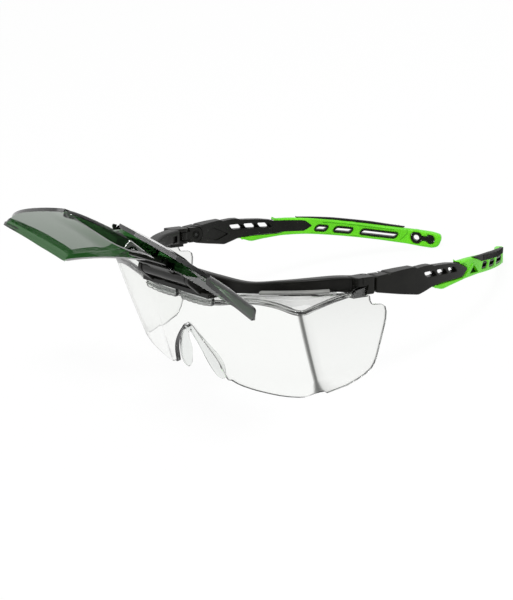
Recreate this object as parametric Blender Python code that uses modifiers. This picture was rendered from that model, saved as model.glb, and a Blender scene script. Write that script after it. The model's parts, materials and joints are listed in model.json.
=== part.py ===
"""Flip-up safety overglasses: a clear wrap-round lens under a black brow bar, two folding and tilting
temples with soft green sleeves, and a green tinted visor on a centre hinge, shown flipped up.

Sizes are millimetres in the worn frame: X to the wearer's left, Y back along the temples, Z up,
with Z = 0 at the height of the temple slots. The worn frame is then tipped back so that the
glasses stand on the lens edges and the temple tips, as they do on a table.
"""
import math

import bmesh
import bpy
from mathutils import Matrix, Vector

MM = 0.001
GAP = 0.3                # clearance between separate pieces
SMOOTH_ANGLE = 35

# Clear lens
LENS_WALL = 2.2
LENS_CORNER_X = 75.5     # half width at the top corner
LENS_CORNER_Y = -24.6
LENS_FOOT_X = 71.2       # half width at the bottom corner
LENS_FOOT_Y = -11.1
LENS_CENTRE_Y = -33.8
LENS_TOP = ((0, -11.2), (15, -11.4), (25, -10.6), (35, -8.6), (45, -6.7), (55, -5.6), (65, -5.8), (75.5, -7.9))
LENS_BOTTOM = ((0, -48), (20.5, -48.4), (27, -50.6), (34, -52.2), (41, -52.8), (48, -52.8), (55, -51.9),
               (62.4, -49.8), (71.2, -45.8))
LENS_FOOT = ((0, -27), (10, -26.6), (20.5, -24.4), (27, -21.9), (34, -19), (41, -16.8), (48, -14.9),
             (55, -13.3), (62.4, -12), (71.2, -11.1))
NOSE_ARCH = ((0, -25.9), (3, -27), (5.3, -29), (10.8, -34), (15.5, -39), (18.4, -43.5), (19.8, -47), (21, -49.4))
NOSE_HALF = 21
LENS_BULGE = 0.4
SIDE_REAR_Y = 24
SIDE_REAR_X = 77.4
SIDE_TOP = ((-24.6, -7.9), (-11, -4.5), (2.4, -2.3), (9, -1.1), (24, -1.1))
SIDE_BOTTOM = ((-11.1, -45.8), (-5, -46.1), (0, -47.2), (8, -49), (24, -49))
SIDE_OUTLINE = ((9.4, -4.9), (12.0, -5.2), (12.4, -7.6), (13.4, -9.2), (18.4, -9.6), (20.3, -10.8), (20.9, -13),
                (20.7, -16.2), (19.4, -21.4), (17.7, -27.8), (16.4, -33), (14.1, -37.6), (11.0, -40), (7.6, -41.8),
                (2.4, -44.2), (-3, -45.7), (-7, -46.6))
ROOF_WALL = 1.8
ROOF_DROP = 0.6          # the roof lies this far under the rim of the lens

# Brow bar: x, y, height of its middle, height and depth of its section
BROW = ((0, -29.4, -4.4, 8.4, 4.0), (20, -28.4, -4.4, 7.6, 4.0), (38, -24.6, -3.8, 5.2, 4.4),
        (52, -18.2, -2.0, 5.6, 5.0), (62, -9, -0.7, 6.2, 6.0), (67.4, 0, -0.1, 6.4, 6.4),
        (71.0, 6.8, -0.5, 7.0, 6.4))
BROW_SECTION_COUNT = 4   # sections between two of the points above
BRACKET_LOW = (70.4, 4.4, -5.9)
BRACKET_HIGH = (74.0, 12.0, -2.0)

# Fold hinge
PIN_X = 71.8
PIN_Y = 12.2
PIN_LEAN = 4.0           # degrees, so that the folded tips pass under the brow bar
PIN_R = 1.0
EAR_R = 2.8
BLOCK_X = (PIN_X - 2.4, PIN_X + 5.6)
BLOCK_Y = (4.6, 14.2)
BLOCK_Z = (-4.5, 3.2)
TONGUE_Z = (-2.7, 1.3)
LINK_X = (PIN_X - 1.8, PIN_X + 1.4)
LINK_Z = (-4.4, 3.1)
LINK_FRONT = 15.5

# Tilt hinge
TILT_Y = 19.2
TILT_Z = -0.6
TILT_NOSE_R = 3.8
TILT_PIN_R = 0.9
TILT_PIN_END = PIN_X + 4.2
TILT_PLAY = 0.8          # room for the temple to tilt five degrees

# Temple: headings in degrees from straight back towards the middle, by distance along the temple
PATH_START = (PIN_X + 5.1, PIN_Y - 2.2)
TEMPLE_LENGTH = 146
BEND_A = TEMPLE_LENGTH - 31      # where the tip part begins
TIP_A = TEMPLE_LENGTH - 13
HEADINGS = ((0, -6), (20, 0), (36, 8.2), (53, 14.3), (75, 23.8), (95, 33.6), (BEND_A, 40.3), (TIP_A, 44.5),
            (TEMPLE_LENGTH, 49.2))
DROP = ((0, 0), (40, 0.1), (53, -0.15), (75, -0.8), (100, -2.9), (BEND_A + 5, -4.9), (TIP_A, -6.4),
        (TEMPLE_LENGTH, -8.4))
THICKNESS = ((0, 7.6), (13, 7.6), (22, 6.0), (32, 4.4), (60, 3.8), (TEMPLE_LENGTH, 4.2))
PLATE_START = 4.9
PLATE = ((PLATE_START, 2.9), (11.2, 3.5), (11.9, 3.0), (12.7, 3.7), (19, 4.3), (26.2, 4.7), (27.8, 3.9),
         (33.6, 4.4), (37.2, 4.3), (38.4, 3.6), (50, 3.3), (56.3, 2.6), (64.6, -0.9), (60.2, -4.0), (44, -4.7),
         (38.4, -5.3), (33, -7.0), (28.7, -8.1), (18, -6.5), (PLATE_START, -4.2))
PLATE_SLOTS = ((36.0, 6.4), (44.0, 5.8), (51.6, 5.2))
PLATE_SLOT_Z = 0.2
PLATE_SLOT_HALF = 1.25
SLOT_SLANT = 1.1
SLEEVE_TOP = ((57.5, 3.1), (66, 3.3), (90, 3.1), (110, 2.8), (TIP_A, 2.6), (TIP_A + 9, 2.4))
SLEEVE_LOW = ((44.8, -8.0), (51, -6.9), (62, -5.5), (75, -4.9), (95, -4.7), (BEND_A, -4.7), (BEND_A + 13, -5.1),
              (TIP_A + 3, -5.9), (TIP_A + 9, -6.2))
SLEEVE_SLOTS = ((79.4, 86.2), (89.6, 100.8), (104.2, BEND_A + 8.4))
SLEEVE_SLOT_Z = -1.3
SLEEVE_SLOT_HALF = 1.25
LINER_WALL = 0.9
WINDOW = ((65.6, -3.6), (74.6, -3.7), (69.8, 0.2))
WINDOW_DEPTH = 1.6
TONGUE = ((56.8, 2.2), (73.8, 2.0), (75.8, -0.2), (74.2, -2.5), (64, -3.2), (56.8, -3.4))
TONGUE_WALL = 1.1
TONGUE_PROUD = 0.15
PAD_OUTLINE = ((69.4, 3.6), (78.6, 0.7), (104, 0.6), (BEND_A + 9, 1.0), (BEND_A + 13, 3.4), (110, 4.1), (90, 4.2))
PAD_DEPTH = 1.5
PAD_PROUD = 0.5
TIP_RING_A = TIP_A + 0.5
TIP_DOT_A = TIP_A + 7.8
TIP_Z = -1.4
TIP_RING_R = 2.8
TIP_HOLE_R = 1.5
TIP_DOT_R = 2.1

# Visor, in its own panel frame: across, height from the hinge edge, depth towards the face
VISOR_RISE = 37.8        # degrees of the flipped-up panel over the horizontal
VISOR_EDGE = (-46.2, 8.3)
VISOR_HALF = 78
VISOR_SPREAD = 8         # how much wider each half is at the free edge
VISOR_SAG = 9.4
VISOR_SAG_POWER = 1.3
VISOR_BOW = 3.6
VISOR_BOW_AT = 40
VISOR_CORNER_RISE = 7.2
VISOR_FREE = ((0, 8.0), (5, 9.2), (9, 13), (12.5, 20), (15, 28), (17, 34), (20, 38.0), (25, 39.0), (40, 38.6),
              (60, 36), (75, 31.5), (86, 26))
VISOR_WALL = 1.8
VISOR_DOME = 2.2         # how far the panel is crowned out between its rims
VISOR_RIM = 5.2
VISOR_ROUND = 1.8        # rounding between panel and rim
VISOR_DRAFT = 1.2
FLIP_AXIS = (-41.4, -1.5)
BARREL_R = 3.0
FLIP_PIN_R = 1.0
CARRIER_HALF = 17.6
FOOT_HALF = 15
NECK_HALF = 8.5
SCREW_X = 12
SCREW_R = 0.7
SCREW_HEAD_R = 1.5
SCREW_DEPTH = 4.7

# Flip mount on the middle of the lens
BASE_HALF = 27
BASE_FLOOR = (-38.2, -31.8, -9.1, -7.8)
BASE_BACK_TOP = -3.0
MOUNT_EAR_X = CARRIER_HALF + GAP + 0.1
MOUNT_EAR_WALL = 3.0
MOUNT_EAR_R = 3.2
GRIP_X = (2.0, BASE_HALF)
GRIP_TEETH = 6
GRIP_DEPTH = 1.8
GRIP_TOOTH = 0.6
SPRING_WIDTH = 20
SPRING_SHEET = 0.5

# Nose piece: x, y, z, width and wall of the band
NOSE_BAND = ((0, -30.0, -27.3, 4.4, 1.7), (4.2, -29.6, -29.6, 4.2, 1.6), (8.6, -27.4, -34.8, 5.6, 1.6),
             (11.6, -24.8, -40.4, 7.6, 1.6), (13.4, -23.0, -45.6, 6.6, 1.5), (14.0, -21.6, -50.2, 3.2, 1.4))

# Standing on a table
FLAT_DEPTH = 0.5
LENS_STAND = (-16.6, -52.9)


def curve_at(points, x):
    """Smooth value at x through (x, value) points."""
    if x <= points[0][0]:
        return points[0][1]
    if x >= points[-1][0]:
        return points[-1][1]
    i = max(k for k in range(len(points) - 1) if points[k][0] <= x)
    (x0, y0), (x1, y1) = points[i], points[i + 1]
    slope = (y1 - y0) / (x1 - x0)
    before = slope if i == 0 else (y1 - points[i - 1][1]) / (x1 - points[i - 1][0])
    after = slope if i + 2 == len(points) else (points[i + 2][1] - y0) / (points[i + 2][0] - x0)
    t = (x - x0) / (x1 - x0)
    span = x1 - x0
    return ((2 * t**3 - 3 * t**2 + 1) * y0 + (t**3 - 2 * t**2 + t) * span * before
            + (3 * t**2 - 2 * t**3) * y1 + (t**3 - t**2) * span * after)


def linear_at(points, x):
    """Straight-line value at x through (x, value) points."""
    for (x0, y0), (x1, y1) in zip(points, points[1:]):
        if x <= x1:
            return y0 + (y1 - y0) * max(0.0, x - x0) / (x1 - x0)
    return points[-1][1]


# Scene

for old in list(bpy.data.objects):
    bpy.data.objects.remove(old)
PARTS = bpy.data.collections.new("flip_up_overglasses")
CUTTERS = bpy.data.collections.new("cutters")
for group in (PARTS, CUTTERS):
    bpy.context.scene.collection.children.link(group)
CUTTERS.hide_render = True


def add_empty(name, place, parent=None):
    """An empty at a place in the worn frame, which carries the pieces of one body."""
    empty = bpy.data.objects.new(name, None)
    empty.empty_display_size = 0.01
    PARTS.objects.link(empty)
    offset = Vector(place) if parent is None else Vector(place) - Vector(parent["worn"])
    empty.location = offset * MM
    empty.parent = parent
    empty["worn"] = tuple(place)
    return empty


WORN = add_empty("worn_frame", (0, 0, 0))
FOLD = {}
TILT = {}
for side_name, side in (("left", 1), ("right", -1)):
    FOLD[side] = add_empty("fold_axis_" + side_name, (side * PIN_X, PIN_Y, 0), WORN)
    TILT[side] = add_empty("tilt_axis_" + side_name, (side * PIN_X, TILT_Y, TILT_Z), FOLD[side])
FLIP = add_empty("flip_axis", (0, FLIP_AXIS[0], FLIP_AXIS[1]), WORN)


def make_material(name, colour, roughness, transmission=0.0, metallic=0.0, alpha=1.0):
    material = bpy.data.materials.new(name)
    material.use_nodes = True
    shader = material.node_tree.nodes["Principled BSDF"]
    shader.inputs["Base Color"].default_value = (*colour, 1)
    shader.inputs["Roughness"].default_value = roughness
    shader.inputs["Transmission Weight"].default_value = transmission
    shader.inputs["Metallic"].default_value = metallic
    shader.inputs["Alpha"].default_value = alpha
    material.diffuse_color = (*colour, 1)
    return material


BLACK_NYLON = ("black_nylon", (0.035, 0.035, 0.033), 0.45)
GREEN_RUBBER = ("green_soft_rubber", (0.11, 0.67, 0.02), 0.5)
BLACK_RUBBER = ("black_soft_rubber", (0.03, 0.03, 0.03), 0.7)
CLEAR = ("clear_polycarbonate", (0.92, 0.94, 0.93), 0.03, 0.95)
GREY_CLEAR = ("grey_soft_clear", (0.5, 0.52, 0.5), 0.35, 0.6)
TINTED = ("green_tinted_polycarbonate", (0.03, 0.16, 0.05), 0.05, 0.8)
STEEL = ("steel", (0.6, 0.6, 0.6), 0.3, 0.0, 1.0)


def finish(name, mesh, finish_values, parent, mirrored=False):
    """Puts a mesh in millimetres of the worn frame into the parts, under its parent empty."""
    if mirrored:
        mesh.transform(Matrix.Diagonal((-1, 1, 1, 1)))
        mesh.flip_normals()
    mesh.transform(Matrix.Translation(-Vector(parent["worn"])))
    mesh.transform(Matrix.Scale(MM, 4))
    mesh.shade_smooth()
    mesh.set_sharp_from_angle(angle=math.radians(SMOOTH_ANGLE))
    piece = bpy.data.objects.new(name, mesh)
    piece.data.materials.append(make_material(name, *finish_values[1:]))
    PARTS.objects.link(piece)
    piece.parent = parent
    return piece


def cutter(name, mesh, mirrored=False):
    """A hidden tool in the worn frame, used by a Boolean of a piece."""
    if mirrored:
        mesh.transform(Matrix.Diagonal((-1, 1, 1, 1)))
        mesh.flip_normals()
    mesh.transform(Matrix.Scale(MM, 4))
    tool = bpy.data.objects.new(name, mesh)
    tool.display_type = "WIRE"
    tool.hide_render = True
    CUTTERS.objects.link(tool)
    tool.parent = WORN
    return tool


def combine(piece, tool, operation):
    modifier = piece.modifiers.new(operation.lower() + "_" + tool.name, "BOOLEAN")
    modifier.operation = operation
    modifier.solver = "EXACT"
    modifier.object = tool


def to_mesh(name, bm):
    bm.normal_update()
    bmesh.ops.recalc_face_normals(bm, faces=bm.faces)
    mesh = bpy.data.meshes.new(name)
    bm.to_mesh(mesh)
    bm.free()
    return mesh


def add_box(bm, low, high):
    """A box between two corners."""
    middle = (Vector(low) + Vector(high)) / 2
    size = Vector(high) - Vector(low)
    matrix = Matrix.Translation(middle) @ Matrix.Diagonal((*size, 1))
    bmesh.ops.create_cube(bm, size=1, matrix=matrix)


def box_mesh(name, low, high):
    bm = bmesh.new()
    add_box(bm, low, high)
    return to_mesh(name, bm)


def rod_mesh(name, start, end, radius, sides=20, end_radius=None):
    """A round rod, or a cone frustum with an end radius."""
    start, end = Vector(start), Vector(end)
    along = end - start
    matrix = Matrix.Translation((start + end) / 2) @ along.to_track_quat("Z", "Y").to_matrix().to_4x4()
    bm = bmesh.new()
    bmesh.ops.create_cone(bm, cap_ends=True, segments=sides, radius1=radius,
                          radius2=radius if end_radius is None else end_radius, depth=along.length, matrix=matrix)
    return to_mesh(name, bm)


def loft(name, rings):
    """A solid through closed rings of equal length, with both ends capped."""
    bm = bmesh.new()
    rows = [[bm.verts.new(point) for point in ring] for ring in rings]
    count = len(rows[0])
    for row, after in zip(rows, rows[1:]):
        for i in range(count):
            bm.faces.new((row[i], row[(i + 1) % count], after[(i + 1) % count], after[i]))
    bm.faces.new(list(reversed(rows[0])))
    bm.faces.new(rows[-1])
    return to_mesh(name, bm)


def flat_outline(name, outlines, half):
    """A flat plate from a filled 2D curve: the first outline is its edge, the others are holes."""
    curve = bpy.data.curves.new(name, "CURVE")
    curve.dimensions = "2D"
    curve.fill_mode = "BOTH"
    curve.extrude = half
    for outline in outlines:
        spline = curve.splines.new("POLY")
        spline.points.add(len(outline) - 1)
        for point, (x, y) in zip(spline.points, outline):
            point.co = (x, y, 0, 1)
        spline.use_cyclic_u = True
    drawn = bpy.data.objects.new(name + "_curve", curve)
    bpy.context.scene.collection.objects.link(drawn)
    evaluated = drawn.evaluated_get(bpy.context.evaluated_depsgraph_get())
    mesh = bpy.data.meshes.new_from_object(evaluated)
    bpy.data.objects.remove(drawn)
    bm = bmesh.new()
    bm.from_mesh(mesh)
    bmesh.ops.remove_doubles(bm, verts=bm.verts, dist=0.001)
    bmesh.ops.dissolve_limit(bm, angle_limit=0.01, verts=bm.verts, edges=bm.edges)
    bm.normal_update()
    return bm


def rounded(points, radius, steps=3):
    """An outline with each corner rounded by a short arc, as far as its sides allow."""
    out = []
    count = len(points)
    for i, point in enumerate(points):
        here = Vector(point)
        before = Vector(points[i - 1]) - here
        after = Vector(points[(i + 1) % count]) - here
        reach = min(radius, before.length * 0.45, after.length * 0.45)
        start = here + before.normalized() * reach
        end = here + after.normalized() * reach
        for k in range(steps + 1):
            t = k / steps
            out.append(tuple(start * (1 - t)**2 + here * 2 * t * (1 - t) + end * t**2))
    return out


def shape_grid(name, rows):
    """An open surface through rows of points."""
    bm = bmesh.new()
    grid = [[bm.verts.new(point) for point in row] for row in rows]
    for row, after in zip(grid, grid[1:]):
        for i in range(len(row) - 1):
            bm.faces.new((after[i], after[i + 1], row[i + 1], row[i]))
    mesh = bpy.data.meshes.new(name)
    bm.to_mesh(mesh)
    bm.free()
    return mesh


def add_mirror(piece):
    modifier = piece.modifiers.new("mirror", "MIRROR")
    modifier.use_axis = (True, False, False)
    modifier.use_clip = True
    modifier.merge_threshold = 0.0001


def add_wall(piece, wall):
    modifier = piece.modifiers.new("wall", "SOLIDIFY")
    modifier.thickness = wall * MM
    modifier.offset = -1
    modifier.use_even_offset = True
    modifier.use_quality_normals = True


# Clear lens

FRONT_STEPS = (0, 3, 6, 9, 11, 13, 14.5, 16, 17.3, 18.5, 20, 22, 25, 30, 36, 43, 50, 57, 64, 70, 73.5)
SIDE_STEPS = (-20.5, -14, -6, 2, 8, 12, 16, 20, 24)
LENS_ROW_COUNT = 7


def lens_front(x, t):
    """Outer surface of the front: x across at the top corner's scale, t from the rim down to the edge."""
    share = x / LENS_CORNER_X
    x_low = share * LENS_FOOT_X
    top = Vector((x, LENS_CENTRE_Y + (LENS_CORNER_Y - LENS_CENTRE_Y) * share**4, curve_at(LENS_TOP, x)))
    low = Vector((x_low, curve_at(LENS_FOOT, x_low), curve_at(LENS_BOTTOM, x_low)))
    depth = 1.0
    if x_low < NOSE_HALF:
        arch = curve_at(NOSE_ARCH, x_low)
        depth = (top.z - arch) / (top.z - low.z)
    s = t * depth
    point = top.lerp(low, s)
    point.y -= LENS_BULGE * 4 * s * (1 - s)
    return point


def lens_side(y, t):
    """Outer surface of a side shield: y back along its top, t from the top down to the bottom edge."""
    share = (y - LENS_CORNER_Y) / (SIDE_REAR_Y - LENS_CORNER_Y)
    y_low = LENS_FOOT_Y + (SIDE_REAR_Y - LENS_FOOT_Y) * share
    top = Vector((LENS_CORNER_X + (SIDE_REAR_X - LENS_CORNER_X) * share, y, curve_at(SIDE_TOP, y)))
    low = Vector((LENS_FOOT_X + (SIDE_REAR_X - LENS_FOOT_X) * share, y_low, curve_at(SIDE_BOTTOM, y_low)))
    point = top.lerp(low, t)
    point.x += LENS_BULGE * 4 * t * (1 - t)
    return point


def lens_rows():
    """Rows from the rim down, each running from the middle of the front round to the rear edge."""
    rows = []
    for k in range(LENS_ROW_COUNT + 1):
        t = k / LENS_ROW_COUNT
        front = [lens_front(x, t) for x in FRONT_STEPS]
        side = [lens_side(y, t) for y in SIDE_STEPS]
        corner = lens_front(LENS_CORNER_X, t)
        turn = [front[-1] * (1 - u)**2 + corner * 2 * u * (1 - u) + side[0] * u**2 for u in (0.3, 0.5, 0.7)]
        rows.append(front + turn + side)
    return rows


def brow_point(t):
    """Middle of the brow bar at t from 0 at the centre to 1 at the hinge: place, height and depth."""
    spot = t * (len(BROW) - 1)
    return [curve_at([(i, row[k]) for i, row in enumerate(BROW)], spot) for k in range(5)]


def brow_outward(t):
    """Plan direction from the middle of the brow bar out towards the lens."""
    if t == 0:
        return Vector((0, -1))
    ahead = brow_point(min(1.0, t + 0.02))
    behind = brow_point(max(0.0, t - 0.02))
    along = Vector((ahead[0] - behind[0], ahead[1] - behind[1])).normalized()
    return Vector((along.y, -along.x))


ROOF_END_Y = 3.4


def roof_rows():
    """Rows of the roof from the rim of the lens in to the underside of the brow bar."""
    front = [(x, None) for x in (0, 6, 12, 18, 24, 30, 36, 42, 48, 54, 60, 66, 71)]
    side = [(None, y) for y in (-20.5, -15, -10, -5, 0, ROOF_END_Y)]
    stations = front + side
    outer = []
    middle = []
    inner = []
    for i, (x, y) in enumerate(stations):
        if y is None:
            edge = lens_front(x, 0)
            edge.y += LENS_WALL / 2
            edge.x -= 0.9 * (x / LENS_CORNER_X)**4
        else:
            edge = lens_side(y, 0)
            edge.x -= LENS_WALL / 2
        edge.z -= ROOF_DROP
        outer.append(edge)
        t = 0.86 * i / (len(stations) - 1)
        bx, by, bz, tall, deep = brow_point(t)
        out = brow_outward(t)
        under = bz - tall / 2 - GAP
        inner.append(Vector((bx, by, under)))
        edge_of_bar = Vector((bx + out.x * deep / 2, by + out.y * deep / 2))
        climb = 0.6 * (edge_of_bar - outer[i].xy).length
        middle.append(Vector((edge_of_bar.x, edge_of_bar.y, min(under, outer[i].z + climb))))
    return [inner, middle, outer]


def side_trim(name, mirrored):
    """Cuts the rear and lower outline of a side shield."""
    outline = [(SIDE_OUTLINE[0][0], 6)] + list(SIDE_OUTLINE) + [(-7, -60), (45, -60), (45, 6)]
    bm = flat_outline(name, [outline], 12)
    mesh = bpy.data.meshes.new(name)
    turn = Matrix(((0, 0, 1, 74), (1, 0, 0, 0), (0, 1, 0, 0), (0, 0, 0, 1)))
    bm.to_mesh(mesh)
    bm.free()
    mesh.transform(turn)
    return cutter(name, mesh, mirrored)


def build_lens():
    lens = finish("clear_lens", shape_grid("clear_lens", lens_rows()), CLEAR, WORN)
    add_mirror(lens)
    add_wall(lens, LENS_WALL)
    roof = cutter("roof_tool", shape_grid("roof_tool", roof_rows()))
    add_mirror(roof)
    add_wall(roof, ROOF_WALL)
    for side_name, side in (("left", 1), ("right", -1)):
        combine(lens, side_trim("side_trim_" + side_name, side < 0), "DIFFERENCE")
    combine(lens, roof, "UNION")
    return lens


# Brow bar with its hinge ears

def lean_about_pin(mesh):
    """Leans a mesh built on a vertical fold pin by the pin's lean."""
    pin = Matrix.Translation((PIN_X, PIN_Y, 0))
    mesh.transform(pin @ Matrix.Rotation(math.radians(-PIN_LEAN), 4, "Y") @ pin.inverted())
    return mesh


def brow_rings():
    rings = []
    steps = (len(BROW) - 1) * BROW_SECTION_COUNT
    for k in range(-steps, steps + 1):
        t = abs(k) / steps
        x, y, z, tall, deep = brow_point(t)
        out = brow_outward(t)
        mirror = -1 if k < 0 else 1
        ring = []
        bevel = 0.22
        for across, up in ((-1, -1 + bevel), (-1, 1 - bevel), (-1 + bevel, 1), (1 - bevel, 1),
                           (1, 1 - bevel), (1, -1 + bevel), (1 - bevel, -1), (-1 + bevel, -1)):
            px = x + out.x * across * deep / 2
            py = y + out.y * across * deep / 2
            ring.append((mirror * px, py, z + up * tall / 2))
        rings.append(ring)
    return rings


def block_outline():
    """Plan of the end block: round about the pin at its inner rear corner, square on the outside."""
    start = math.asin((BLOCK_Y[1] - PIN_Y) / EAR_R)
    end = math.radians(190)
    arc = [(PIN_X + EAR_R * math.cos(start + (end - start) * k / 12),
            PIN_Y + EAR_R * math.sin(start + (end - start) * k / 12)) for k in range(13)]
    return arc + [(BLOCK_X[0], BLOCK_Y[0] + 1), (BLOCK_X[0] + 1, BLOCK_Y[0]), (BLOCK_X[1] - 1, BLOCK_Y[0]),
                  (BLOCK_X[1], BLOCK_Y[0] + 1), (BLOCK_X[1], BLOCK_Y[1] - 0.6), (BLOCK_X[1] - 0.6, BLOCK_Y[1])]


def block_tool(name, mirrored):
    bm = flat_outline(name, [block_outline()], (BLOCK_Z[1] - BLOCK_Z[0]) / 2)
    mesh = bpy.data.meshes.new(name)
    bm.to_mesh(mesh)
    bm.free()
    mesh.transform(Matrix.Translation((0, 0, (BLOCK_Z[0] + BLOCK_Z[1]) / 2)))
    return cutter(name, mesh, mirrored)


def build_brow():
    bar = finish("brow_bar", loft("brow_bar", brow_rings()), BLACK_NYLON, WORN)
    for side_name, side in (("left", 1), ("right", -1)):
        flip = side < 0
        combine(bar, block_tool("end_block_" + side_name, flip), "UNION")
        bracket = box_mesh("shield_bracket_" + side_name, BRACKET_LOW, BRACKET_HIGH)
        combine(bar, cutter("bracket_" + side_name, bracket, flip), "UNION")
        pocket = rod_mesh("tongue_pocket_" + side_name, (PIN_X, PIN_Y, TONGUE_Z[0] - GAP),
                          (PIN_X, PIN_Y, TONGUE_Z[1] + GAP), EAR_R + GAP, 28)
        combine(bar, cutter("pocket_" + side_name, lean_about_pin(pocket), flip), "DIFFERENCE")
        sweep = box_mesh("tongue_sweep_" + side_name, (PIN_X - 9, PIN_Y - 2.2, TONGUE_Z[0] - GAP),
                         (PIN_X + 1.4 + GAP, PIN_Y + 6, TONGUE_Z[1] + GAP))
        combine(bar, cutter("sweep_" + side_name, lean_about_pin(sweep), flip), "DIFFERENCE")
        room = box_mesh("shield_room_" + side_name, (BRACKET_HIGH[0], -30, -12), (90, 9.4 + GAP, -0.6))
        combine(bar, cutter("room_" + side_name, room, flip), "DIFFERENCE")
        bore = rod_mesh("fold_bore_" + side_name, (PIN_X, PIN_Y, -8), (PIN_X, PIN_Y, 8), PIN_R + GAP, 20)
        combine(bar, cutter("bore_" + side_name, lean_about_pin(bore), flip), "DIFFERENCE")
    return bar


def build_hinge(side_name, side):
    """The link between frame and temple, its fold pin and its tilt pin."""
    flip = side < 0
    pin = rod_mesh("fold_pin", (PIN_X, PIN_Y, BLOCK_Z[0]), (PIN_X, PIN_Y, BLOCK_Z[1]), PIN_R)
    finish("fold_pin_" + side_name, lean_about_pin(pin), STEEL, WORN, flip)

    body = box_mesh("hinge_link", (LINK_X[0], LINK_FRONT, LINK_Z[0]), (LINK_X[1], TILT_Y, LINK_Z[1]))
    link = finish("hinge_link_" + side_name, body, BLACK_NYLON, FOLD[side], flip)
    neck = box_mesh("neck", (LINK_X[0], PIN_Y, TONGUE_Z[0]), (LINK_X[1], LINK_FRONT + 1, TONGUE_Z[1]))
    combine(link, cutter("neck_" + side_name, lean_about_pin(neck), flip), "UNION")
    round_end = rod_mesh("round_end", (PIN_X, PIN_Y, TONGUE_Z[0]), (PIN_X, PIN_Y, TONGUE_Z[1]), EAR_R, 28)
    combine(link, cutter("round_end_" + side_name, lean_about_pin(round_end), flip), "UNION")
    nose = rod_mesh("nose", (LINK_X[0], TILT_Y, TILT_Z), (LINK_X[1], TILT_Y, TILT_Z), TILT_NOSE_R, 32)
    combine(link, cutter("nose_" + side_name, nose, flip), "UNION")
    bore = rod_mesh("bore", (PIN_X, PIN_Y, -8), (PIN_X, PIN_Y, 8), PIN_R + GAP, 20)
    combine(link, cutter("link_bore_" + side_name, lean_about_pin(bore), flip), "DIFFERENCE")
    across = rod_mesh("across", (LINK_X[0] - 3, TILT_Y, TILT_Z), (TILT_PIN_END + GAP, TILT_Y, TILT_Z),
                      TILT_PIN_R + GAP, 20)
    tilt_bore = cutter("tilt_bore_" + side_name, across, flip)
    combine(link, tilt_bore, "DIFFERENCE")
    tilt_pin = rod_mesh("tilt_pin", (LINK_X[0], TILT_Y, TILT_Z), (TILT_PIN_END, TILT_Y, TILT_Z), TILT_PIN_R)
    finish("tilt_pin_" + side_name, tilt_pin, STEEL, FOLD[side], flip)
    return tilt_bore


# Temples

PATH_STEP = 0.5


def walk_path():
    """Places along the outer face of a temple, every half millimetre."""
    places = [Vector(PATH_START)]
    for k in range(int((TEMPLE_LENGTH + 6) / PATH_STEP)):
        heading = math.radians(linear_at(HEADINGS, (k + 0.5) * PATH_STEP))
        places.append(places[-1] + PATH_STEP * Vector((-math.sin(heading), math.cos(heading))))
    return places


PATH = walk_path()


def temple_point(a, z, inward):
    """A place on a temple: a along it, z over its middle line, inward from the outer face."""
    k = min(len(PATH) - 2, max(0, int(a / PATH_STEP)))
    spot = PATH[k].lerp(PATH[k + 1], a / PATH_STEP - k)
    heading = math.radians(linear_at(HEADINGS, a))
    inner = Vector((-math.cos(heading), -math.sin(heading)))
    place = spot + inner * inward
    return Vector((place.x, place.y, curve_at(DROP, a) + z))


def bend_onto_temple(name, bm, outer, inner, step=4.0):
    """Cuts a flat plate, drawn as (a, z), at regular stations and bends it round the temple's path.
    Its two faces lie at the depths that outer and inner give for each a."""
    low = min(v.co.x for v in bm.verts)
    high = max(v.co.x for v in bm.verts)
    station = math.ceil(low / step) * step
    while station < high:
        if station - low > 0.2 and high - station > 0.2:
            geometry = bm.verts[:] + bm.edges[:] + bm.faces[:]
            bmesh.ops.bisect_plane(bm, geom=geometry, plane_co=(station, 0, 0), plane_no=(1, 0, 0), dist=0.0001)
        station += step
    bmesh.ops.triangulate(bm, faces=bm.faces)
    for vert in bm.verts:
        a, z, face = vert.co
        depth = outer(a) if face > 0 else inner(a)
        vert.co = temple_point(a, z, depth)
    return to_mesh(name, bm)


def slanted_slot(a0, a1, z, half, slant, grow=0.0):
    """A slot with slanted ends, grown all round."""
    return [(a0 - slant - grow, z + half + grow), (a1 - slant + grow, z + half + grow),
            (a1 + slant + grow, z - half - grow), (a0 + slant - grow, z - half - grow)]


def full_depth(a):
    return linear_at(THICKNESS, a)


def sleeve_outline():
    """Edge of the green sleeve: under the plate, round its arrow end, along the top and back below."""
    along_plate = [(37.6, -5.75), (44, -5.1), (60.9, -4.4), (65.2, -0.9), (56.9, 2.95)]
    top = [(a, z) for a, z in SLEEVE_TOP]
    end = [(TEMPLE_LENGTH, 1.6), (TEMPLE_LENGTH + 0.6, -0.6), (TEMPLE_LENGTH - 0.8, -4.6)]
    low = [(a, z) for a, z in reversed(SLEEVE_LOW)]
    return along_plate + top + end + low


def circle(a, z, radius, steps=18):
    return [(a + radius * math.cos(2 * math.pi * k / steps), z + radius * math.sin(2 * math.pi * k / steps))
            for k in range(steps)]


def insert_outline(grow=0.0):
    """The dumb-bell insert at the tip: a ring, a neck and a dot."""
    ring = TIP_RING_R + grow
    dot = TIP_DOT_R + grow
    neck = 0.9 + grow
    open_ring = math.asin(neck / ring)
    open_dot = math.asin(neck / dot)
    points = []
    steps = 14
    for k in range(steps + 1):
        angle = open_ring + (2 * math.pi - 2 * open_ring) * k / steps
        points.append((TIP_RING_A + ring * math.cos(angle), TIP_Z + ring * math.sin(angle)))
    for k in range(steps + 1):
        angle = -math.pi + open_dot + (2 * math.pi - 2 * open_dot) * k / steps
        points.append((TIP_DOT_A + dot * math.cos(angle), TIP_Z + dot * math.sin(angle)))
    return points


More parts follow.
